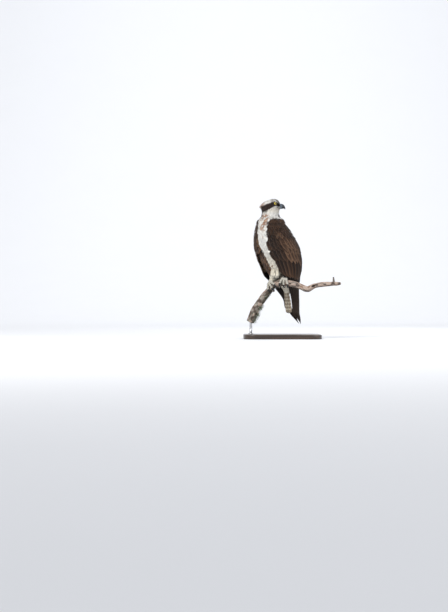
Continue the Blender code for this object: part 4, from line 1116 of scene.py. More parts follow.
def row(side, name, n, a_lo, a_hi, z0, z1, half, deep, rise, base, drift=0.03, seed=0.0, jag=0.004,
        rows=14, **more):
    a = np.linspace(a_lo, a_hi, n) + rng.normal(0, 0.004, n)
    ztip = (z1(a) if callable(z1) else np.full(n, z1)) + rng.normal(0, jag, n)
    b, e, f = row_colours(side, a, ztip + 0.01, n, base, seed)
    if side == "right":                    # painted light: the right wing's inner side beside the breast is painted lighter against the shade it lies in
        w = np.exp(-((a - 0.02) / 0.11)**2)[:, None]
        b = lerp(b, np.array((0.120, 0.072, 0.046)), 0.8 * w)
        e = lerp(e, np.array((0.42, 0.25, 0.13)), 0.75 * w)
    return remiges(side, a, a + drift, np.full(n, float(z0)), ztip, np.full(n, half),
                   np.full(n, deep), np.full(n, rise) + 0.00035 * np.arange(n) / n, rows=rows, colour=b,
                   edge=e, fringe=f, name=name, **more)


def primary_paint(col, u, x):
    """Inner webs paler and faintly barred near the root, tips blackest."""
    bars = 0.5 + 0.5 * np.sin(u * 46.0)
    inner = np.clip(-x, 0, 1) * np.clip(0.7 - u, 0, 1)
    col = col * (1.0 - 0.25 * np.clip(u - 0.6, 0, 1))[..., None]
    return col + (0.10 * inner * bars)[..., None] * np.array((1.0, 0.85, 0.7))


for side in ("left", "right"):
    row(side, "median_coverts_" + side, 15, 0.02, 0.96, 0.200, lambda a: 0.140 - 0.010 * np.sin(a * 3.1),
        0.0125, -0.0042, -0.0002, BROWN, pointed=0.42, round_=0.16)
    row(side, "greater_coverts_" + side, 15, 0.02, 0.96, 0.165, lambda a: 0.092 - 0.016 * np.sin(a * 3.1),
        0.0130, -0.0046, -0.0010, lerp(BROWN, DARK, 0.6), seed=3.0, pointed=0.42, round_=0.14)
    row(side, "secondaries_" + side, 14, 0.08, 0.93, 0.125,
        lambda a: 0.030 - 0.020 * np.sin(a * 2.9) + 0.014 * np.exp(-a / 0.10),
        0.0135, -0.0046, -0.0018, DARK, seed=7.0, rows=18, pointed=0.45, round_=0.12, jag=0.003)
    row(side, "tertials_" + side, 5, 0.70, 0.97, 0.120, lambda a: -0.012 + 0.030 * (1 - a),
        0.0165, -0.0030, -0.0006, lerp(BROWN, DARK, 0.4), seed=9.0, rows=18, pointed=0.45)
    n = 10
    tips = np.array([-0.168, -0.181, -0.1835, -0.176, -0.163, -0.146, -0.126, -0.106, -0.086, -0.066])
    a0 = np.linspace(0.13 if side == "left" else 0.10, 0.86, n)
    a1 = np.array([0.16, 0.26, 0.38, 0.46, 0.50, 0.54, 0.58, 0.63, 0.69, 0.76])
    col = np.tile(BLACKISH, (n, 1)) * (0.85 + 0.4 * rng.random(n))[:, None]
    remiges(side, a0, a1, np.full(n, 0.052), tips, np.linspace(0.0105, 0.0125, n), np.full(n, -0.0030),
            -0.0022 + 0.0018 * np.arange(n) / n, rows=30, colour=col,
            edge=np.tile(np.array((0.105, 0.072, 0.050)), (n, 1)), fringe=0.55, name="primaries_vanes_" + side,
            slot="flight_feathers", patch=None, paint=primary_paint, replaces=("primaries_" + side,),
            stack=0.0006, pointed=0.24, round_=0.06)

# --------------------------------------------------------------------- tail
n, rows, J = 12, 40, 7
i = np.arange(n) - 5.5
order = np.abs(i) / 5.5                     # outermost lie lowest, towards the front
u = np.linspace(0, 1, rows + 1)
zr = lerp(-0.030, Z_TAIL[1] + 0.0015, u)[None] + np.zeros((n, 1))
zr = zr + (0.0030 * order)[:, None] * u[None]
t = (i / 5.5)[:, None] * lerp(0.0070, 0.0118, u)[None]
ut = (zr - Z_TAIL[0]) / (Z_TAIL[1] - Z_TAIL[0])
s_front = -0.0610 - 0.0125 * ut
s = s_front - 0.0006 - 0.0030 * (t / 0.0215)**2 - (1 - order)[:, None] * lerp(0.0045, 0.0022, u)[None]
P = np.stack([s, t, zr], -1)
D = unit(np.gradient(P, axis=1))
N = np.zeros_like(P)
N[..., 0] = 1.0
N[..., 1] = 2 * 0.003 * t / 0.0215**2 * 1.4
N = unit(N - (N * D).sum(-1, keepdims=True) * D)


def tail_paint(col, u, x):
    """Brown bars on cream, widest at the end, with a browner middle."""
    wave = np.sin(u * 2 * math.pi * 6.6 + 0.5 * np.abs(x) + 0.6)
    bar = step(0.05, 0.45, wave) * step(0.10, 0.22, u)
    bar = np.maximum(bar, step(0.905, 0.925, u) * step(0.985, 0.970, u))
    brown = np.array((0.125, 0.080, 0.050))
    col = lerp(col, brown, (0.62 * bar)[..., None])
    return lerp(col, brown * 1.5, (0.70 * np.exp(-(x / 0.30)**2) * np.ones_like(bar))[..., None])


base = lerp(np.array((0.70, 0.62, 0.48)), np.array((0.40, 0.30, 0.20)), ((1 - order) ** 2)[:, None])
out = vanes(P, D, N, np.full(n, 0.0092), np.full(n, 0.00055), base, np.tile(CREAM, (n, 1)),
            np.full(n, 0.5), unwrap(P[:, 0]), J=J, camber=0.05, tip_round=0.03, ragged=0.03,
            paint=tail_paint, patch=None, pointed=0.62, narrow=0.8)
make("rectrices", to_world(out[0]), out[1], STIFF, out[2], out[3], out[4],
     replaces=("tail",))

# --------------------------------------------------------------------- eyes
def lens_grid(rows, sides):
    quads = []
    for k in range(rows - 1):
        for j in range(sides):
            m = (j + 1) % sides
            quads.append((k * sides + j, k * sides + m, (k + 1) * sides + m, (k + 1) * sides + j))
    return np.array(quads)


def eye_material():
    """Wet eye: black pupil, yellow iris with fine radial streaks, dark rim."""
    m, nt, b = material("wet_eye", 0.06, Coat_Weight=1.0, Coat_Roughness=0.02)
    tint, vane = attribute(nt, "tint"), attribute(nt, "vane")
    streak = node(nt, "ShaderNodeTexNoise", Scale=26.0, Detail=3.0)
    nt.links.new(vane.outputs["Vector"], streak.inputs["Vector"])
    shade = nt.nodes.new("ShaderNodeCombineColor")
    tone = spread(nt, streak.outputs[0], 0.35, 0.65, 0.72, 1.10)
    for i in range(3):
        nt.links.new(tone, shade.inputs[i])
    nt.links.new(mixer(nt, tint.outputs["Color"], shade.outputs[0], 1.0, "MULTIPLY"), b.inputs["Base Color"])
    return m


EYE = eye_material()
LID, _, _ = tinted("lid_skin", 0.55, 900.0, 0.20, 0.4, 0.0002, Specular_IOR_Level=0.4)
for side, sign in (("left", 1.0), ("right", -1.0)):
    mirror = np.array((1.0, sign, 1.0))
    axis, centre = EYE_AXIS * mirror, EYE_AT * mirror
    e1 = unit(np.cross((0, 0, 1.0), axis)) * sign
    e2 = unit(np.cross(axis, e1)) * sign
    e2 = e2 * np.sign(e2[2])
    sides, rows = 64, 44
    al = np.concatenate([[0.0005], np.linspace(0.02, 0.95, rows - 12), np.linspace(1.02, math.pi - 0.001, 11)])
    be = np.linspace(0, 2 * math.pi, sides, endpoint=False)
    A, B = np.meshgrid(al, be, indexing="ij")
    R = EYE_R + 0.0006 * np.exp(-(A / 0.42)**2)          # the cornea stands a little proud
    v = centre + R[..., None] * (np.cos(A)[..., None] * axis + np.sin(A)[..., None]
                                 * (np.cos(B)[..., None] * e1 + np.sin(B)[..., None] * e2))
    ring = np.sin(A) * EYE_R
    iris = lerp(np.array((0.82, 0.62, 0.022)), np.array((0.74, 0.46, 0.012)),
                step(0.0045, 0.0062, ring)[..., None])
    col = lerp(np.array((0.004, 0.004, 0.004)), iris, step(0.00285, 0.00315, ring)[..., None])
    col = lerp(col, np.array((0.030, 0.018, 0.008)), step(0.0062, 0.0067, ring)[..., None])
    polar = np.stack([np.cos(B) * 1.0, np.sin(B) * 1.0, ring * 40], -1)
    q = lens_grid(len(al), sides)
    if sign < 0:
        q = q[:, ::-1]
    make("eyeball_" + side, to_world(from_head(v.reshape(-1, 3))), q, EYE, col.reshape(-1, 3),
         polar.reshape(-1, 3), replaces=("eye_" + side,))

    # lids: a collar from the opening's edge over the ball and into the face
    brow = np.clip(np.sin(be), 0, 1)
    corner = np.abs(np.cos(be))
    opening = 0.800 - 0.110 * brow**2 + 0.045 * corner**4
    prof = [(0.000, -0.0002), (-0.004, 0.0006), (0.055, 0.0012), (0.150, 0.0013), (0.290, 0.0007),
            (0.430, -0.0006), (0.430, -0.0022), (0.120, -0.0014)]
    ringv, ringc = [], []
    for k, (da, dr) in enumerate(prof):
        a = opening + da
        lift = dr + (0.0009 * brow**2 if 1 < k < 5 else 0.0) + 0.00012 * np.sin(be * 9 + k)
        rr = (EYE_R + lift)[:, None]
        ringv.append(centre + rr * (np.cos(a)[:, None] * axis + np.sin(a)[:, None]
                                    * (np.cos(be)[:, None] * e1 + np.sin(be)[:, None] * e2)))
        ringc.append(np.tile((0.050, 0.046, 0.045) if k in (1, 2) else (0.026, 0.021, 0.018), (sides, 1)))
    ringv, ringc = ringv + ringv[:1], ringc + ringc[:1]
    v, c = np.concatenate(ringv[:-1]), np.concatenate(ringc[:-1])
    q = []
    m = len(prof)
    for k in range(m):
        for j in range(sides):
            w = (j + 1) % sides
            q.append((k * sides + j, k * sides + w, ((k + 1) % m) * sides + w, ((k + 1) % m) * sides + j))
    q = np.array(q)
    if sign < 0:
        q = q[:, ::-1]
    make("lids_" + side, to_world(from_head(v)), q, LID, c)

# --------------------------------------------------------------------- bill
BILL = np.array([
    (0.0350, 0.0070, 0.0350, -0.0140, 0.0088), (0.0404, 0.0078, 0.0404, -0.0150, 0.0090),
    (0.0450, 0.0082, 0.0446, -0.0150, 0.0086), (0.0500, 0.0070, 0.0485, -0.0146, 0.0076),
    (0.0545, 0.0044, 0.0520, -0.0140, 0.0064), (0.0582, 0.0010, 0.0549, -0.0134, 0.0052),
    (0.0610, -0.0034, 0.0574, -0.0131, 0.0040), (0.0628, -0.0084, 0.0594, -0.0140, 0.0029),
    (0.0634, -0.0134, 0.0612, -0.0163, 0.0016), (0.0629, -0.0182, 0.0625, -0.0190, 0.0004)])
rows, sides = 72, 56
tt = np.linspace(0, len(BILL) - 1, rows)
curve = []
for c in range(5):                           # Catmull-Rom through the rows
    y = BILL[:, c]
    i = np.clip(tt.astype(int), 0, len(BILL) - 2)
    f = tt - i
    y0, y1, y2, y3 = y[np.maximum(i - 1, 0)], y[i], y[i + 1], y[np.minimum(i + 2, len(y) - 1)]
    curve.append(0.5 * (2 * y1 + (y2 - y0) * f + (2 * y0 - 5 * y1 + 4 * y2 - y3) * f * f
                        + (3 * y1 - y0 - 3 * y2 + y3) * f**3))
x1, zt, x2, zb, w = (c[:, None] for c in curve)
w = np.maximum(w, 0.0004)
g = np.linspace(0, 2 * math.pi, sides, endpoint=False)[None]
m = 0.5 + 0.5 * np.cos(g)
side_w = w * np.sin(g) * (0.86 + 0.14 * (1 - m))
mouth = lerp(0.215, 0.130, np.clip((tt / 5.2), 0, 1))[:, None]
groove = np.exp(-((m - mouth) / 0.022)**2) * step(5.6, 4.9, tt)[:, None]
side_w = side_w * (1 - 0.13 * groove)
cere = step(2.75, 2.45, tt)[:, None]
side_w = side_w * (1 + 0.045 * cere)
px, pz = x2 + (x1 - x2) * m, zb + (zt - zb) * m
hole = np.exp(-(((px - 0.0462) * 0.9 + (pz - 0.0030) * 0.45) / 0.0009)**2
              - (((pz - 0.0030) * 0.9 - (px - 0.0462) * 0.45) / 0.0021)**2)
side_w = side_w * (1 - 0.22 * hole)
v = np.stack([px * np.ones_like(g), side_w, pz], -1)
tipward = np.clip((tt[:, None] - 3.0) / 4.5, 0, 1) * np.ones_like(g)
col = lerp(np.array((0.030, 0.033, 0.040)), np.array((0.006, 0.006, 0.007)), tipward[..., None])
col = lerp(col, np.array((0.095, 0.118, 0.145)), (cere * np.ones_like(g))[..., None])
# painted shade: the nostril and the groove along the mouth are painted nearly black
col = lerp(col, np.array((0.006, 0.006, 0.007)), np.clip(hole * 1.2 + 0.75 * groove, 0, 1)[..., None])
v = v.reshape(-1, 3)
quads = lens_grid(rows, sides)
v = np.concatenate([v, v[:sides].mean(0, keepdims=True), v[-sides:].mean(0, keepdims=True)])
col = np.concatenate([col.reshape(-1, 3), [[0.1, 0.1, 0.1]], [[0.012] * 3]])
k0, k1 = rows * sides, rows * sides + 1
caps = np.array([(k0, (j + 1) % sides, j) for j in range(sides)]
                + [(k1, (rows - 1) * sides + j, (rows - 1) * sides + (j + 1) % sides) for j in range(sides)])
HORN, _, _ = tinted("horn", 0.36, 260.0, 0.18, 0.15, 0.0002, Specular_IOR_Level=0.30, Coat_Weight=0.10,
                    Coat_Roughness=0.22)
make("bill_horn", to_world(from_head(v)), [quads, caps], HORN, col, replaces=("bill",))


# --------------------------------------------------------------------- feet
def foot_frame(side):
    line = branch_line(8)
    i = int(np.argmin(np.abs(line[:, 0] - FOOT_ALONG[side])))
    along = unit(line[i + 1, :3] - line[i - 1, :3])
    up = unit(np.array((0, 0, 1.0)) - along[2] * along)
    return line[i, :3], line[i, 3], along, np.cross(along, up), up


WOOD = branch_line(10)


def off_the_wood(p, clear):
    d = np.linalg.norm(WOOD[:, :3] - p, axis=1) - WOOD[:, 3]
    i = int(np.argmin(d))
    lo, hi = max(i - 1, 0), min(i + 1, len(WOOD) - 1)
    ab = WOOD[hi, :3] - WOOD[lo, :3]
    u = float(np.clip(np.dot(p - WOOD[lo, :3], ab) / np.dot(ab, ab), 0, 1))
    c = WOOD[lo, :3] + u * ab
    r = WOOD[lo, 3] + u * (WOOD[hi, 3] - WOOD[lo, 3])
    dist = np.linalg.norm(p - c)
    return p if dist >= r + clear else c + (p - c) / dist * (r + clear)


TOES = {"inner": (0.30, 1.75, -0.35, -1.00), "middle": (0.10, 2.00, 0.0, 0.16),
        "outer": (0.30, 1.80, 0.35, 1.35), "hind": (-0.25, -1.45, 0.0, -0.40)}
FOOT, nt, b = tinted("foot_scales", 0.62, 700.0, 0.10, 0.1, 0.0002, Specular_IOR_Level=0.35)
coord = nt.nodes.new("ShaderNodeTexCoord")
cells = node(nt, "ShaderNodeTexVoronoi", Scale=560.0)
cells.feature = "DISTANCE_TO_EDGE"
nt.links.new(coord.outputs["Object"], cells.inputs["Vector"])
bumped(nt, b, spread(nt, cells.outputs["Distance"], 0.0, 0.22), 0.9, 0.0006)


def tube(path, radii, sides, up, wave=None):
    path = np.asarray(path)
    d = unit(np.gradient(path, axis=0))
    a = unit(np.asarray(up) - (d @ np.asarray(up))[:, None] * d)
    c = np.cross(d, a)
    g = np.linspace(0, 2 * math.pi, sides, endpoint=False)
    r = np.asarray(radii)[:, None] * np.ones(sides)
    if wave is not None:
        r = r * wave
    v = path[:, None] + r[..., None] * (np.cos(g)[None, :, None] * a[:, None] + np.sin(g)[None, :, None]
                                        * c[:, None])
    n, k = len(path), len(path) * sides
    v = np.concatenate([v.reshape(-1, 3), path[:1], path[-1:]])
    quads = lens_grid(n, sides)
    caps = np.array([(k, (j + 1) % sides, j) for j in range(sides)]
                    + [(k + 1, k - sides + j, k - sides + (j + 1) % sides) for j in range(sides)])
    return v, quads, caps


def joined(parts):
    verts, quads, caps, base = [], [], [], 0
    for v, q, c in parts:
        verts.append(v)
        quads.append(q + base)
        caps.append(c + base)
        base += len(v)
    return np.concatenate(verts), [np.concatenate(quads), np.concatenate(caps)]


for side, mirror in (("left", 1), ("right", -1)):
    centre, R, along, fore, up = foot_frame(side)
    along = along * mirror
    top, bottom = np.array(THIGH[side][0]), np.array(SHANK[side][0])
    drop = unit(bottom - top)
    ankle = spin(bottom, BODY_YAW)
    down = spin(drop, BODY_YAW)
    pad = centre + up * (R + 0.0082)
    bones, claws = [], []
    leg = [ankle - down * 0.014, ankle, ankle + down * 0.003]
    leg += [leg[2] + (pad - leg[2]) * f for f in (0.4, 0.75, 1.0)]
    bones.append((np.array(leg), np.array([0.0070, 0.0068, 0.0066, 0.0063, 0.0066, 0.0070])))
    bones.append((np.array([pad - up * 0.0006 - fore * 0.004, pad - up * 0.0006 + fore * 0.005]),
                  np.array([0.0072, 0.0068])))
    for toe, (t0, t1, o0, o1) in TOES.items():
        th0, th1 = (0.0054, 0.0042) if toe != "hind" else (0.0052, 0.0044)
        path, radii = [], []
        for k in range(25):
            f = k / 24
            th = t0 + (t1 - t0) * f
            r = th0 + (th1 - th0) * f + 0.0006 * math.cos(6 * math.pi * f)
            at = (centre + along * (0.0155 * (o0 + (o1 - o0) * f))
                  + (R + 0.0009 + r) * (math.cos(th) * up + math.sin(th) * fore))
            path.append(off_the_wood(at, r + 0.0004))
            radii.append(r if k < 24 else r * 0.9)
        bones.append((np.array(path), np.array(radii)))
        sgn = 1 if toe != "hind" else -1
        path, radii = [], []
        for k in range(26):
            f = k / 25
            th = t1 + sgn * (0.030 + 1.14 * f)
            r = 0.0037 * (1 - f) ** 0.75 + 0.00045
            out = R + 0.0009 + th1 * (1 - f) + 0.0005 + 0.0050 * math.sin(math.pi * f) + r * 0.6
            at = (centre + along * (0.0155 * (o1 + 0.12 * (o1 - o0) * f))
                  + out * (math.cos(th) * up + math.sin(th) * fore))
            path.append(off_the_wood(at, r + 0.0005))
            radii.append(r)
        claws.append(tube(path, radii, 18, along))

    def foot(p):
        f = np.full(p.shape[:-1], 1e9)
        near_scute = np.zeros(p.shape[:-1])
        for path, radii in bones:
            g = np.full(p.shape[:-1], 1e9)
            s = np.zeros(p.shape[:-1])
            run = 0.0
            for k in range(len(path) - 1):
                ab = path[k + 1] - path[k]
                u = np.clip(((p - path[k]) @ ab) / (ab @ ab), 0, 1)
                d = np.linalg.norm(p - (path[k] + u[..., None] * ab), axis=-1) \
                    - (radii[k] + (radii[k + 1] - radii[k]) * u)
                s = np.where(d < g, run + u * np.linalg.norm(ab), s)
                g = np.minimum(g, d)
                run += np.linalg.norm(ab)
            # scutes: shallow rings along each toe and the shank
            g = g - 0.00022 * np.abs(np.sin(s * math.pi / 0.0026)) ** 0.6
            f = smin(f, g, 0.0022)
        return f
    pts = np.concatenate([b[0] for b in bones])
    lo, hi = pts.min(0) - 0.009, pts.max(0) + 0.009
    v, q = surface_nets(foot, *(np.arange(lo[d], hi[d], 0.00085) for d in range(3)))
    hard = noise(v, 0.0035, 21)
    # painted shade: the foot is painted darker below the branch's top and paler above it
    high = step(centre[2] + R - 0.004, centre[2] + R + 0.014, v[:, 2])
    col = lerp(np.array((0.52, 0.49, 0.42)), np.array((0.66, 0.645, 0.585)), high[:, None])
    col = col * (0.86 + 0.22 * hard)[:, None]
    make("foot_" + side, v + PERCH_POINT, q, FOOT, col, replaces=("leg_" + side,))
    v, faces = joined(claws)
    col = np.tile((0.014, 0.013, 0.014), (len(v), 1)) * (0.8 + 0.6 * noise(v, 0.004, 9))[:, None]
    make("talons_" + side, v + PERCH_POINT, faces, HORN, col,
         replaces=tuple("talon_%s_%s" % (t, side) for t in TOES))

# ------------------------------------------------------------------- branch
BARE = np.array((0.44, 0.345, 0.285))
BARK_C = np.array((0.105, 0.078, 0.064))
BARK_LIGHT = np.array((0.330, 0.285, 0.250))
OLIVE = np.array((0.085, 0.080, 0.050))
LICHEN_C = np.array((0.36, 0.39, 0.30))
line = branch_line(24)
axis = line[:, :3]
d = unit(np.gradient(axis, axis=0))
a = unit(np.array((0, -1.0, 0)) - (d @ np.array((0, -1.0, 0)))[:, None] * d)
c = np.cross(d, a)
sides = 112
g = np.linspace(0, 2 * math.pi, sides, endpoint=False)
run = np.concatenate([[0], np.cumsum(np.linalg.norm(np.diff(axis, axis=0), axis=1))])
ray = np.cos(g)[None, :, None] * a[:, None] + np.sin(g)[None, :, None] * c[:, None]
x = axis[:, 0][:, None] * np.ones(sides)
feet = np.exp(-((x - 0.004) / 0.050) ** 6)
# a space that is stretched along the branch: grain, cracks and patches live here
grain = np.stack([np.cos(g)[None] * np.ones_like(x) * 0.015, np.sin(g)[None] * np.ones_like(x) * 0.015,
                  run[:, None] * np.ones(sides) * 0.16], -1)
patchy = np.stack([np.cos(g)[None] * np.ones_like(x) * 0.015, np.sin(g)[None] * np.ones_like(x) * 0.015,
                   run[:, None] * np.ones(sides) * 0.45], -1)
fine, coarse = noise(grain, 0.0018, 31), noise(grain, 0.0048, 32)
lump = noise(axis[:, None] + 0.012 * ray, 0.026, 33)
upward = ray[..., 2]
bare = step(0.48, 0.58, noise(patchy, 0.0085, 34) + 0.16 * step(0.015, 0.045, x)
            - 0.14 * step(-0.005, -0.035, x) + 0.12 * upward * step(0.0, -0.03, x))
crack = step(0.40, 0.16, np.abs(coarse - 0.5) * 4 + 0.30 * fine) * (1 - 0.5 * bare)
off = -0.0002 - (1 - bare) * (0.0013 * fine + 0.0006) - 0.0010 * crack + 0.0022 * (lump - 0.5) * (1 - feet)
off = np.minimum(off, lerp(0.0012, 0.0003, feet))
# the knot hole on the right, and a swelling round it
kx, kang = 0.1560, math.radians(-12)
kd = np.sqrt(((x - kx) / 0.0088)**2 + ((((g[None] - kang + math.pi) % (2 * math.pi)) - math.pi) / 0.60)**2)
off = off + 0.0013 * np.exp(-((kd - 1.25) / 0.35)**2) - 0.0042 * step(1.05, 0.55, kd)
rad = line[:, 3][:, None] + off
end = np.minimum((run / 0.006)[:, None], ((run[-1] - run) / 0.006)[:, None])
rad = rad * np.sqrt(np.clip(1 - (1 - np.clip(end, 0, 1))**2 * 0.16, 0, 1))
v = axis[:, None] + rad[..., None] * ray
bark = lerp(BARK_C, BARK_LIGHT, step(0.35, 0.75, noise(patchy, 0.0060, 35))[..., None])
bark = lerp(bark, OLIVE, (0.70 * step(0.1, -0.7, upward) * step(0.02, -0.05, x))[..., None])
wood = lerp(BARE * 0.86, BARE * np.array((1.16, 1.14, 1.12)), fine[..., None])
wood = lerp(wood, np.array((0.20, 0.105, 0.062)), (0.75 * step(0.66, 0.80, noise(patchy, 0.0095, 36)))[..., None])
col = lerp(bark * (0.75 + 0.5 * fine)[..., None], wood, bare[..., None])
col = lerp(col, col * 0.40, (0.85 * crack)[..., None])
spotty = step(0.70, 0.80, noise(v, 0.0060, 37)) * (1 - bare)
col = lerp(col, LICHEN_C, (0.65 * spotty)[..., None])
# painted shade: bark and wood are darkened on the branch's lower side
col = col * (1 - 0.45 * step(0.1, 0.85, -upward))[..., None]
col = lerp(col, np.array((0.022, 0.013, 0.010)), (0.95 * step(1.05, 0.75, kd))[..., None])
col = lerp(col, np.array((0.050, 0.038, 0.032)), (0.85 * step(0.252, 0.262, x))[..., None])
n = len(axis)
# cut ends: rings of heartwood drawn in towards the middle
v0, c0 = [v.reshape(-1, 3)], [col.reshape(-1, 3)]
quads, base = [lens_grid(n, sides)], n * sides
caps = []
for last in (False, True):
    src = (n - 1 if last else 0)
    prev = np.arange(sides) + src * sides
    for k, s in enumerate((0.93, 0.75, 0.5, 0.25, 0.08)):
        rv = axis[src] + (v[src] - axis[src]) * s + (d[src] if last else -d[src]) * 0.0003 * (k % 2)
        v0.append(rv)
        c0.append(np.tile(np.array((0.40, 0.29, 0.20)) * (0.72 + 0.28 * (k % 2)), (sides, 1)))
        cur = np.arange(sides) + base
        base += sides
        nx = np.roll(prev, -1), np.roll(cur, -1)
        q = np.stack([prev, nx[0], nx[1], cur], -1)
        quads.append(q if last else q[:, ::-1])
        prev = cur
    v0.append(axis[src][None])
    c0.append(np.array([[0.20, 0.13, 0.09]]))
    t3 = np.stack([prev, np.roll(prev, -1), np.full(sides, base)], -1)
    caps.append(t3 if last else t3[:, ::-1])
    base += 1
for (pa, pb, ra, rb), tone in ((((0.2375, -0.1285, -0.0030), (0.2360, -0.1290, 0.0240), 0.0062, 0.0032), 0.55),
                               (((-0.0255, -0.0020, -0.0200), (-0.0160, -0.0080, -0.0385), 0.0080, 0.0040), 0.9)):
    path = [np.array(pa) + (np.array(pb) - np.array(pa)) * f for f in np.linspace(0, 1, 26)]
    rr = ra + (rb - ra) * np.linspace(0, 1, 26)
    gg = np.linspace(0, 2 * math.pi, 36, endpoint=False)
    co = np.stack([np.cos(gg)[None] * 0.01 * np.ones((26, 1)), np.sin(gg)[None] * 0.01 * np.ones((26, 1)),
                   np.linspace(0, 0.006, 26)[:, None] * np.ones(36)], -1)
    w = 1 - 0.20 * noise(co, 0.0022, 41)
    sv, sq, sc = tube(path, rr, 36, (1, 0, 0), w)
    v0.append(sv)
    sn = noise(sv, 0.004, 42)
    c0.append(BARK_LIGHT[None] * tone * (0.5 + 0.8 * sn)[:, None])
    quads.append(sq + base)
    caps.append(sc + base)
    base += len(sv)
BARK, nt, b = tinted("bark_and_wood", 0.88, 210.0, 0.22, 0.55, 0.0009, Specular_IOR_Level=0.22)
make("branch", np.concatenate(v0) + PERCH_POINT, [np.concatenate(quads), np.concatenate(caps)], BARK,
     np.concatenate(c0), replaces=("perch",))

# tufts of lichen: thin curled strands that hang from the bark's lower side
parts = []
for tx, tz, count, reach in ((-0.061, -0.114, 90, 0.017), (-0.070, -0.150, 100, 0.020),
                             (-0.036, -0.066, 30, 0.008), (-0.082, -0.163, 40, 0.012)):
    i0 = int(np.argmin(np.hypot(axis[:, 0] - tx, axis[:, 2] - tz)))
    for _ in range(count):
        i = int(np.clip(i0 + rng.normal(0, 1.6 * len(axis) / 100), 2, n - 3))
        j = int(rng.normal(1.45, 0.34) / (2 * math.pi) * sides) % sides
        out = unit(ray[i, j] + 0.45 * rng.normal(0, 1, 3))
        curl = 0.55 * rng.normal(0, 1, 3)
        p, way = v[i, j] - 0.0006 * ray[i, j], out
        path = [p]
        for k in range(7):
            way = unit(way + curl / 7 + np.array((0, 0, -0.10)) + 0.16 * rng.normal(0, 1, 3))
            p = p + way * reach * (0.55 + 0.45 * rng.random()) / 7
            path.append(p)
        parts.append(tube(np.array(path), np.linspace(0.00048, 0.00014, 8), 5, (0, 0.31, 0.95)))
v, q = joined(parts)
LICHEN, _, _ = tinted("lichen", 0.95, 900.0, 0.25, 0.5, 0.0004, Specular_IOR_Level=0.1)
make("lichen", v + PERCH_POINT, q, LICHEN,
     np.array((0.30, 0.33, 0.25)) * (0.6 + 0.9 * noise(v, 0.003, 51))[:, None])

# -------------------------------------------------------------------- stand
bx, by, bz = BASE_SIZE
corner, per = 0.055, 22
prof = [(0.0000, 0.0030), (0.0008, 0.0012), (0.0030, 0.0000), (0.0150, 0.0000), (0.0166, 0.0005),
        (0.0180, 0.0016), (0.0192, 0.0032), (0.0199, 0.0054), (0.0200, 0.0080)]
outline = []
for sx, sy, start in ((1, 1, 0), (-1, 1, 90), (-1, -1, 180), (1, -1, 270)):
    for k in range(per):
        gg = math.radians(start + 90 * k / (per - 1))
        outline.append((sx * (bx / 2 - corner), sy * (by / 2 - corner), math.cos(gg), math.sin(gg)))
outline = np.array(outline)
rings = [np.stack([outline[:, 0] + (corner - i) * outline[:, 2], outline[:, 1] + (corner - i) * outline[:, 3],
                   np.full(len(outline), h)], -1) for h, i in prof]
m = len(outline)
v = np.concatenate(rings + [np.array([[0, 0, 0.0]]), np.array([[0, 0, bz]])])
k = len(rings) * m
caps = np.array([(k, (j + 1) % m, j) for j in range(m)]
                + [(k + 1, k - m + j, k - m + (j + 1) % m) for j in range(m)])
PLINTH, nt, b = material("stained_wood", 0.34, Coat_Weight=0.25, Coat_Roughness=0.25)
coord = nt.nodes.new("ShaderNodeTexCoord")
maps = nt.nodes.new("ShaderNodeMapping")
maps.inputs["Scale"].default_value = (1.0, 13.0, 13.0)
nt.links.new(coord.outputs["Object"], maps.inputs["Vector"])
broad = node(nt, "ShaderNodeTexNoise", Scale=9.0, Detail=5.0, Distortion=0.6)
pores = node(nt, "ShaderNodeTexNoise", Scale=60.0, Detail=3.0)
for t in (broad, pores):
    nt.links.new(maps.outputs[0], t.inputs["Vector"])
stain = mixer(nt, (0.020, 0.011, 0.007, 1), (0.066, 0.036, 0.020, 1), spread(nt, broad.outputs[0], 0.33, 0.67))
stain = mixer(nt, stain, (0.010, 0.006, 0.004, 1), spread(nt, pores.outputs[0], 0.56, 0.70))
nt.links.new(stain, b.inputs["Base Color"])
bumped(nt, b, pores.outputs[0], 0.12, 0.0004)
make("base_plate", v, [lens_grid(len(rings), m), caps], PLINTH, replaces=("stand_base",))

lo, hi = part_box("stand_rod")
cx, cy = 0.5 * (lo[0] + hi[0]), 0.5 * (lo[1] + hi[1])
path = [(cx, cy, z) for z in (bz + 0.0003, bz + 0.0006, bz + 0.0036, bz + 0.0042, bz + 0.0045, bz + 0.03,
                              hi[2] - 0.006, hi[2])]
radii = [0.0102, 0.0110, 0.0110, 0.0102, ROD_R, ROD_R, ROD_R, ROD_R]
v, q, c3 = tube(path, radii, 64, (1, 0, 0))
STEEL, nt, b = material("brushed_steel", 0.30, 1.0)
coord = nt.nodes.new("ShaderNodeTexCoord")
maps = nt.nodes.new("ShaderNodeMapping")
maps.inputs["Scale"].default_value = (1.0, 1.0, 0.03)
nt.links.new(coord.outputs["Object"], maps.inputs["Vector"])
brush = node(nt, "ShaderNodeTexNoise", Scale=1800.0, Detail=2.0)
nt.links.new(maps.outputs[0], brush.inputs["Vector"])
nt.links.new(mixer(nt, (0.46, 0.46, 0.47, 1), (0.64, 0.64, 0.65, 1), brush.outputs[0]), b.inputs["Base Color"])
nt.links.new(spread(nt, brush.outputs[0], 0.3, 0.7, 0.22, 0.38), b.inputs["Roughness"])
make("rod", v, [q, c3], STEEL, replaces=("stand_rod",))

# -------------------------------------------------------------- floor, light
def plain(name, colour, rough):
    m, nt, b = material(name, rough)
    coord = nt.nodes.new("ShaderNodeTexCoord")
    soft = node(nt, "ShaderNodeTexNoise", Scale=3.0, Detail=2.0)
    nt.links.new(coord.outputs["Object"], soft.inputs["Vector"])
    low = tuple(c * 0.985 for c in colour)
    nt.links.new(mixer(nt, (*low, 1), (*colour, 1), soft.outputs[0]), b.inputs["Base Color"])
    return m


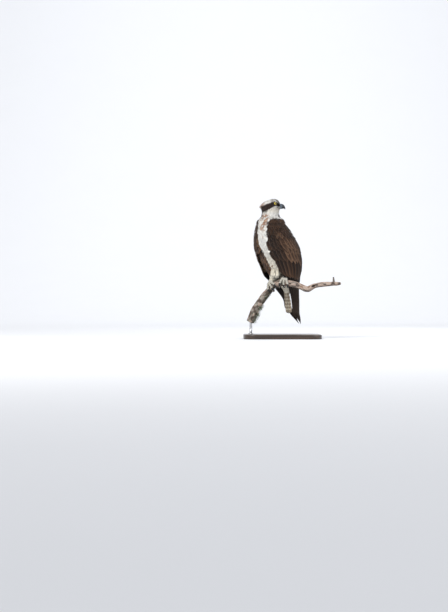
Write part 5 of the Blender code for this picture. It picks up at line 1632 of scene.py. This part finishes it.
me = bpy.data.meshes.new("floor")
sweep = [(-40.0, 0.0)] + [(6 + 6 * math.sin(t), 6 - 6 * math.cos(t)) for t in np.linspace(0, math.pi / 2, 33)]
sweep.append((12.0, 8.0))
me.from_pydata([(sx, y, z) for y, z in sweep for sx in (-60, 60)], [],
               [(2 * k, 2 * k + 1, 2 * k + 3, 2 * k + 2) for k in range(len(sweep) - 1)])
me.polygons.foreach_set("use_smooth", [True] * len(me.polygons))
me.materials.append(plain("pale_floor", (0.80, 0.81, 0.83), 0.9))
floor = bpy.data.objects.new("floor", me)
bpy.context.scene.collection.objects.link(floor)

world = bpy.data.worlds.new("pale_room")
bpy.context.scene.world = world
world.use_nodes = True
world.node_tree.nodes["Background"].inputs[0].default_value = (0.95, 0.965, 1.0, 1)
world.node_tree.nodes["Background"].inputs[1].default_value = 0.82


def soft_light(name, at, aim, size, power, colour):
    light = bpy.data.lights.new(name, "AREA")
    light.shape, light.size, light.energy, light.color = "DISK", size, power, colour
    ob = bpy.data.objects.new(name, light)
    ob.location = at
    ob.rotation_euler = (Vector(aim) - Vector(at)).to_track_quat("-Z", "Y").to_euler()
    bpy.context.scene.collection.objects.link(ob)


soft_light("key", (-1.9, -2.2, 2.7), (0, 0, 0.35), 1.3, 80, (1.0, 0.985, 0.96))
soft_light("fill", (2.4, -1.6, 1.4), (0, 0, 0.35), 1.8, 24, (0.93, 0.96, 1.0))
soft_light("backdrop", (0, 4.5, 6.5), (0, 12, 2.2), 2.5, 250, (1, 1, 1))
soft_light("rim", (1.0, 2.4, 2.4), (0, 0, 0.35), 1.4, 26, (1, 1, 1))

camera = bpy.data.cameras.new("camera")
camera.sensor_width, camera.lens = 36.0, 80.2
camera.clip_end = 200
eye = bpy.data.objects.new("camera", camera)
eye.location = (-0.2554, -6.0, 0.144)
eye.rotation_euler = (math.radians(90), 0, 0)
bpy.context.scene.collection.objects.link(eye)
bpy.context.scene.camera = eye
bpy.context.scene.view_settings.view_transform = "Standard"
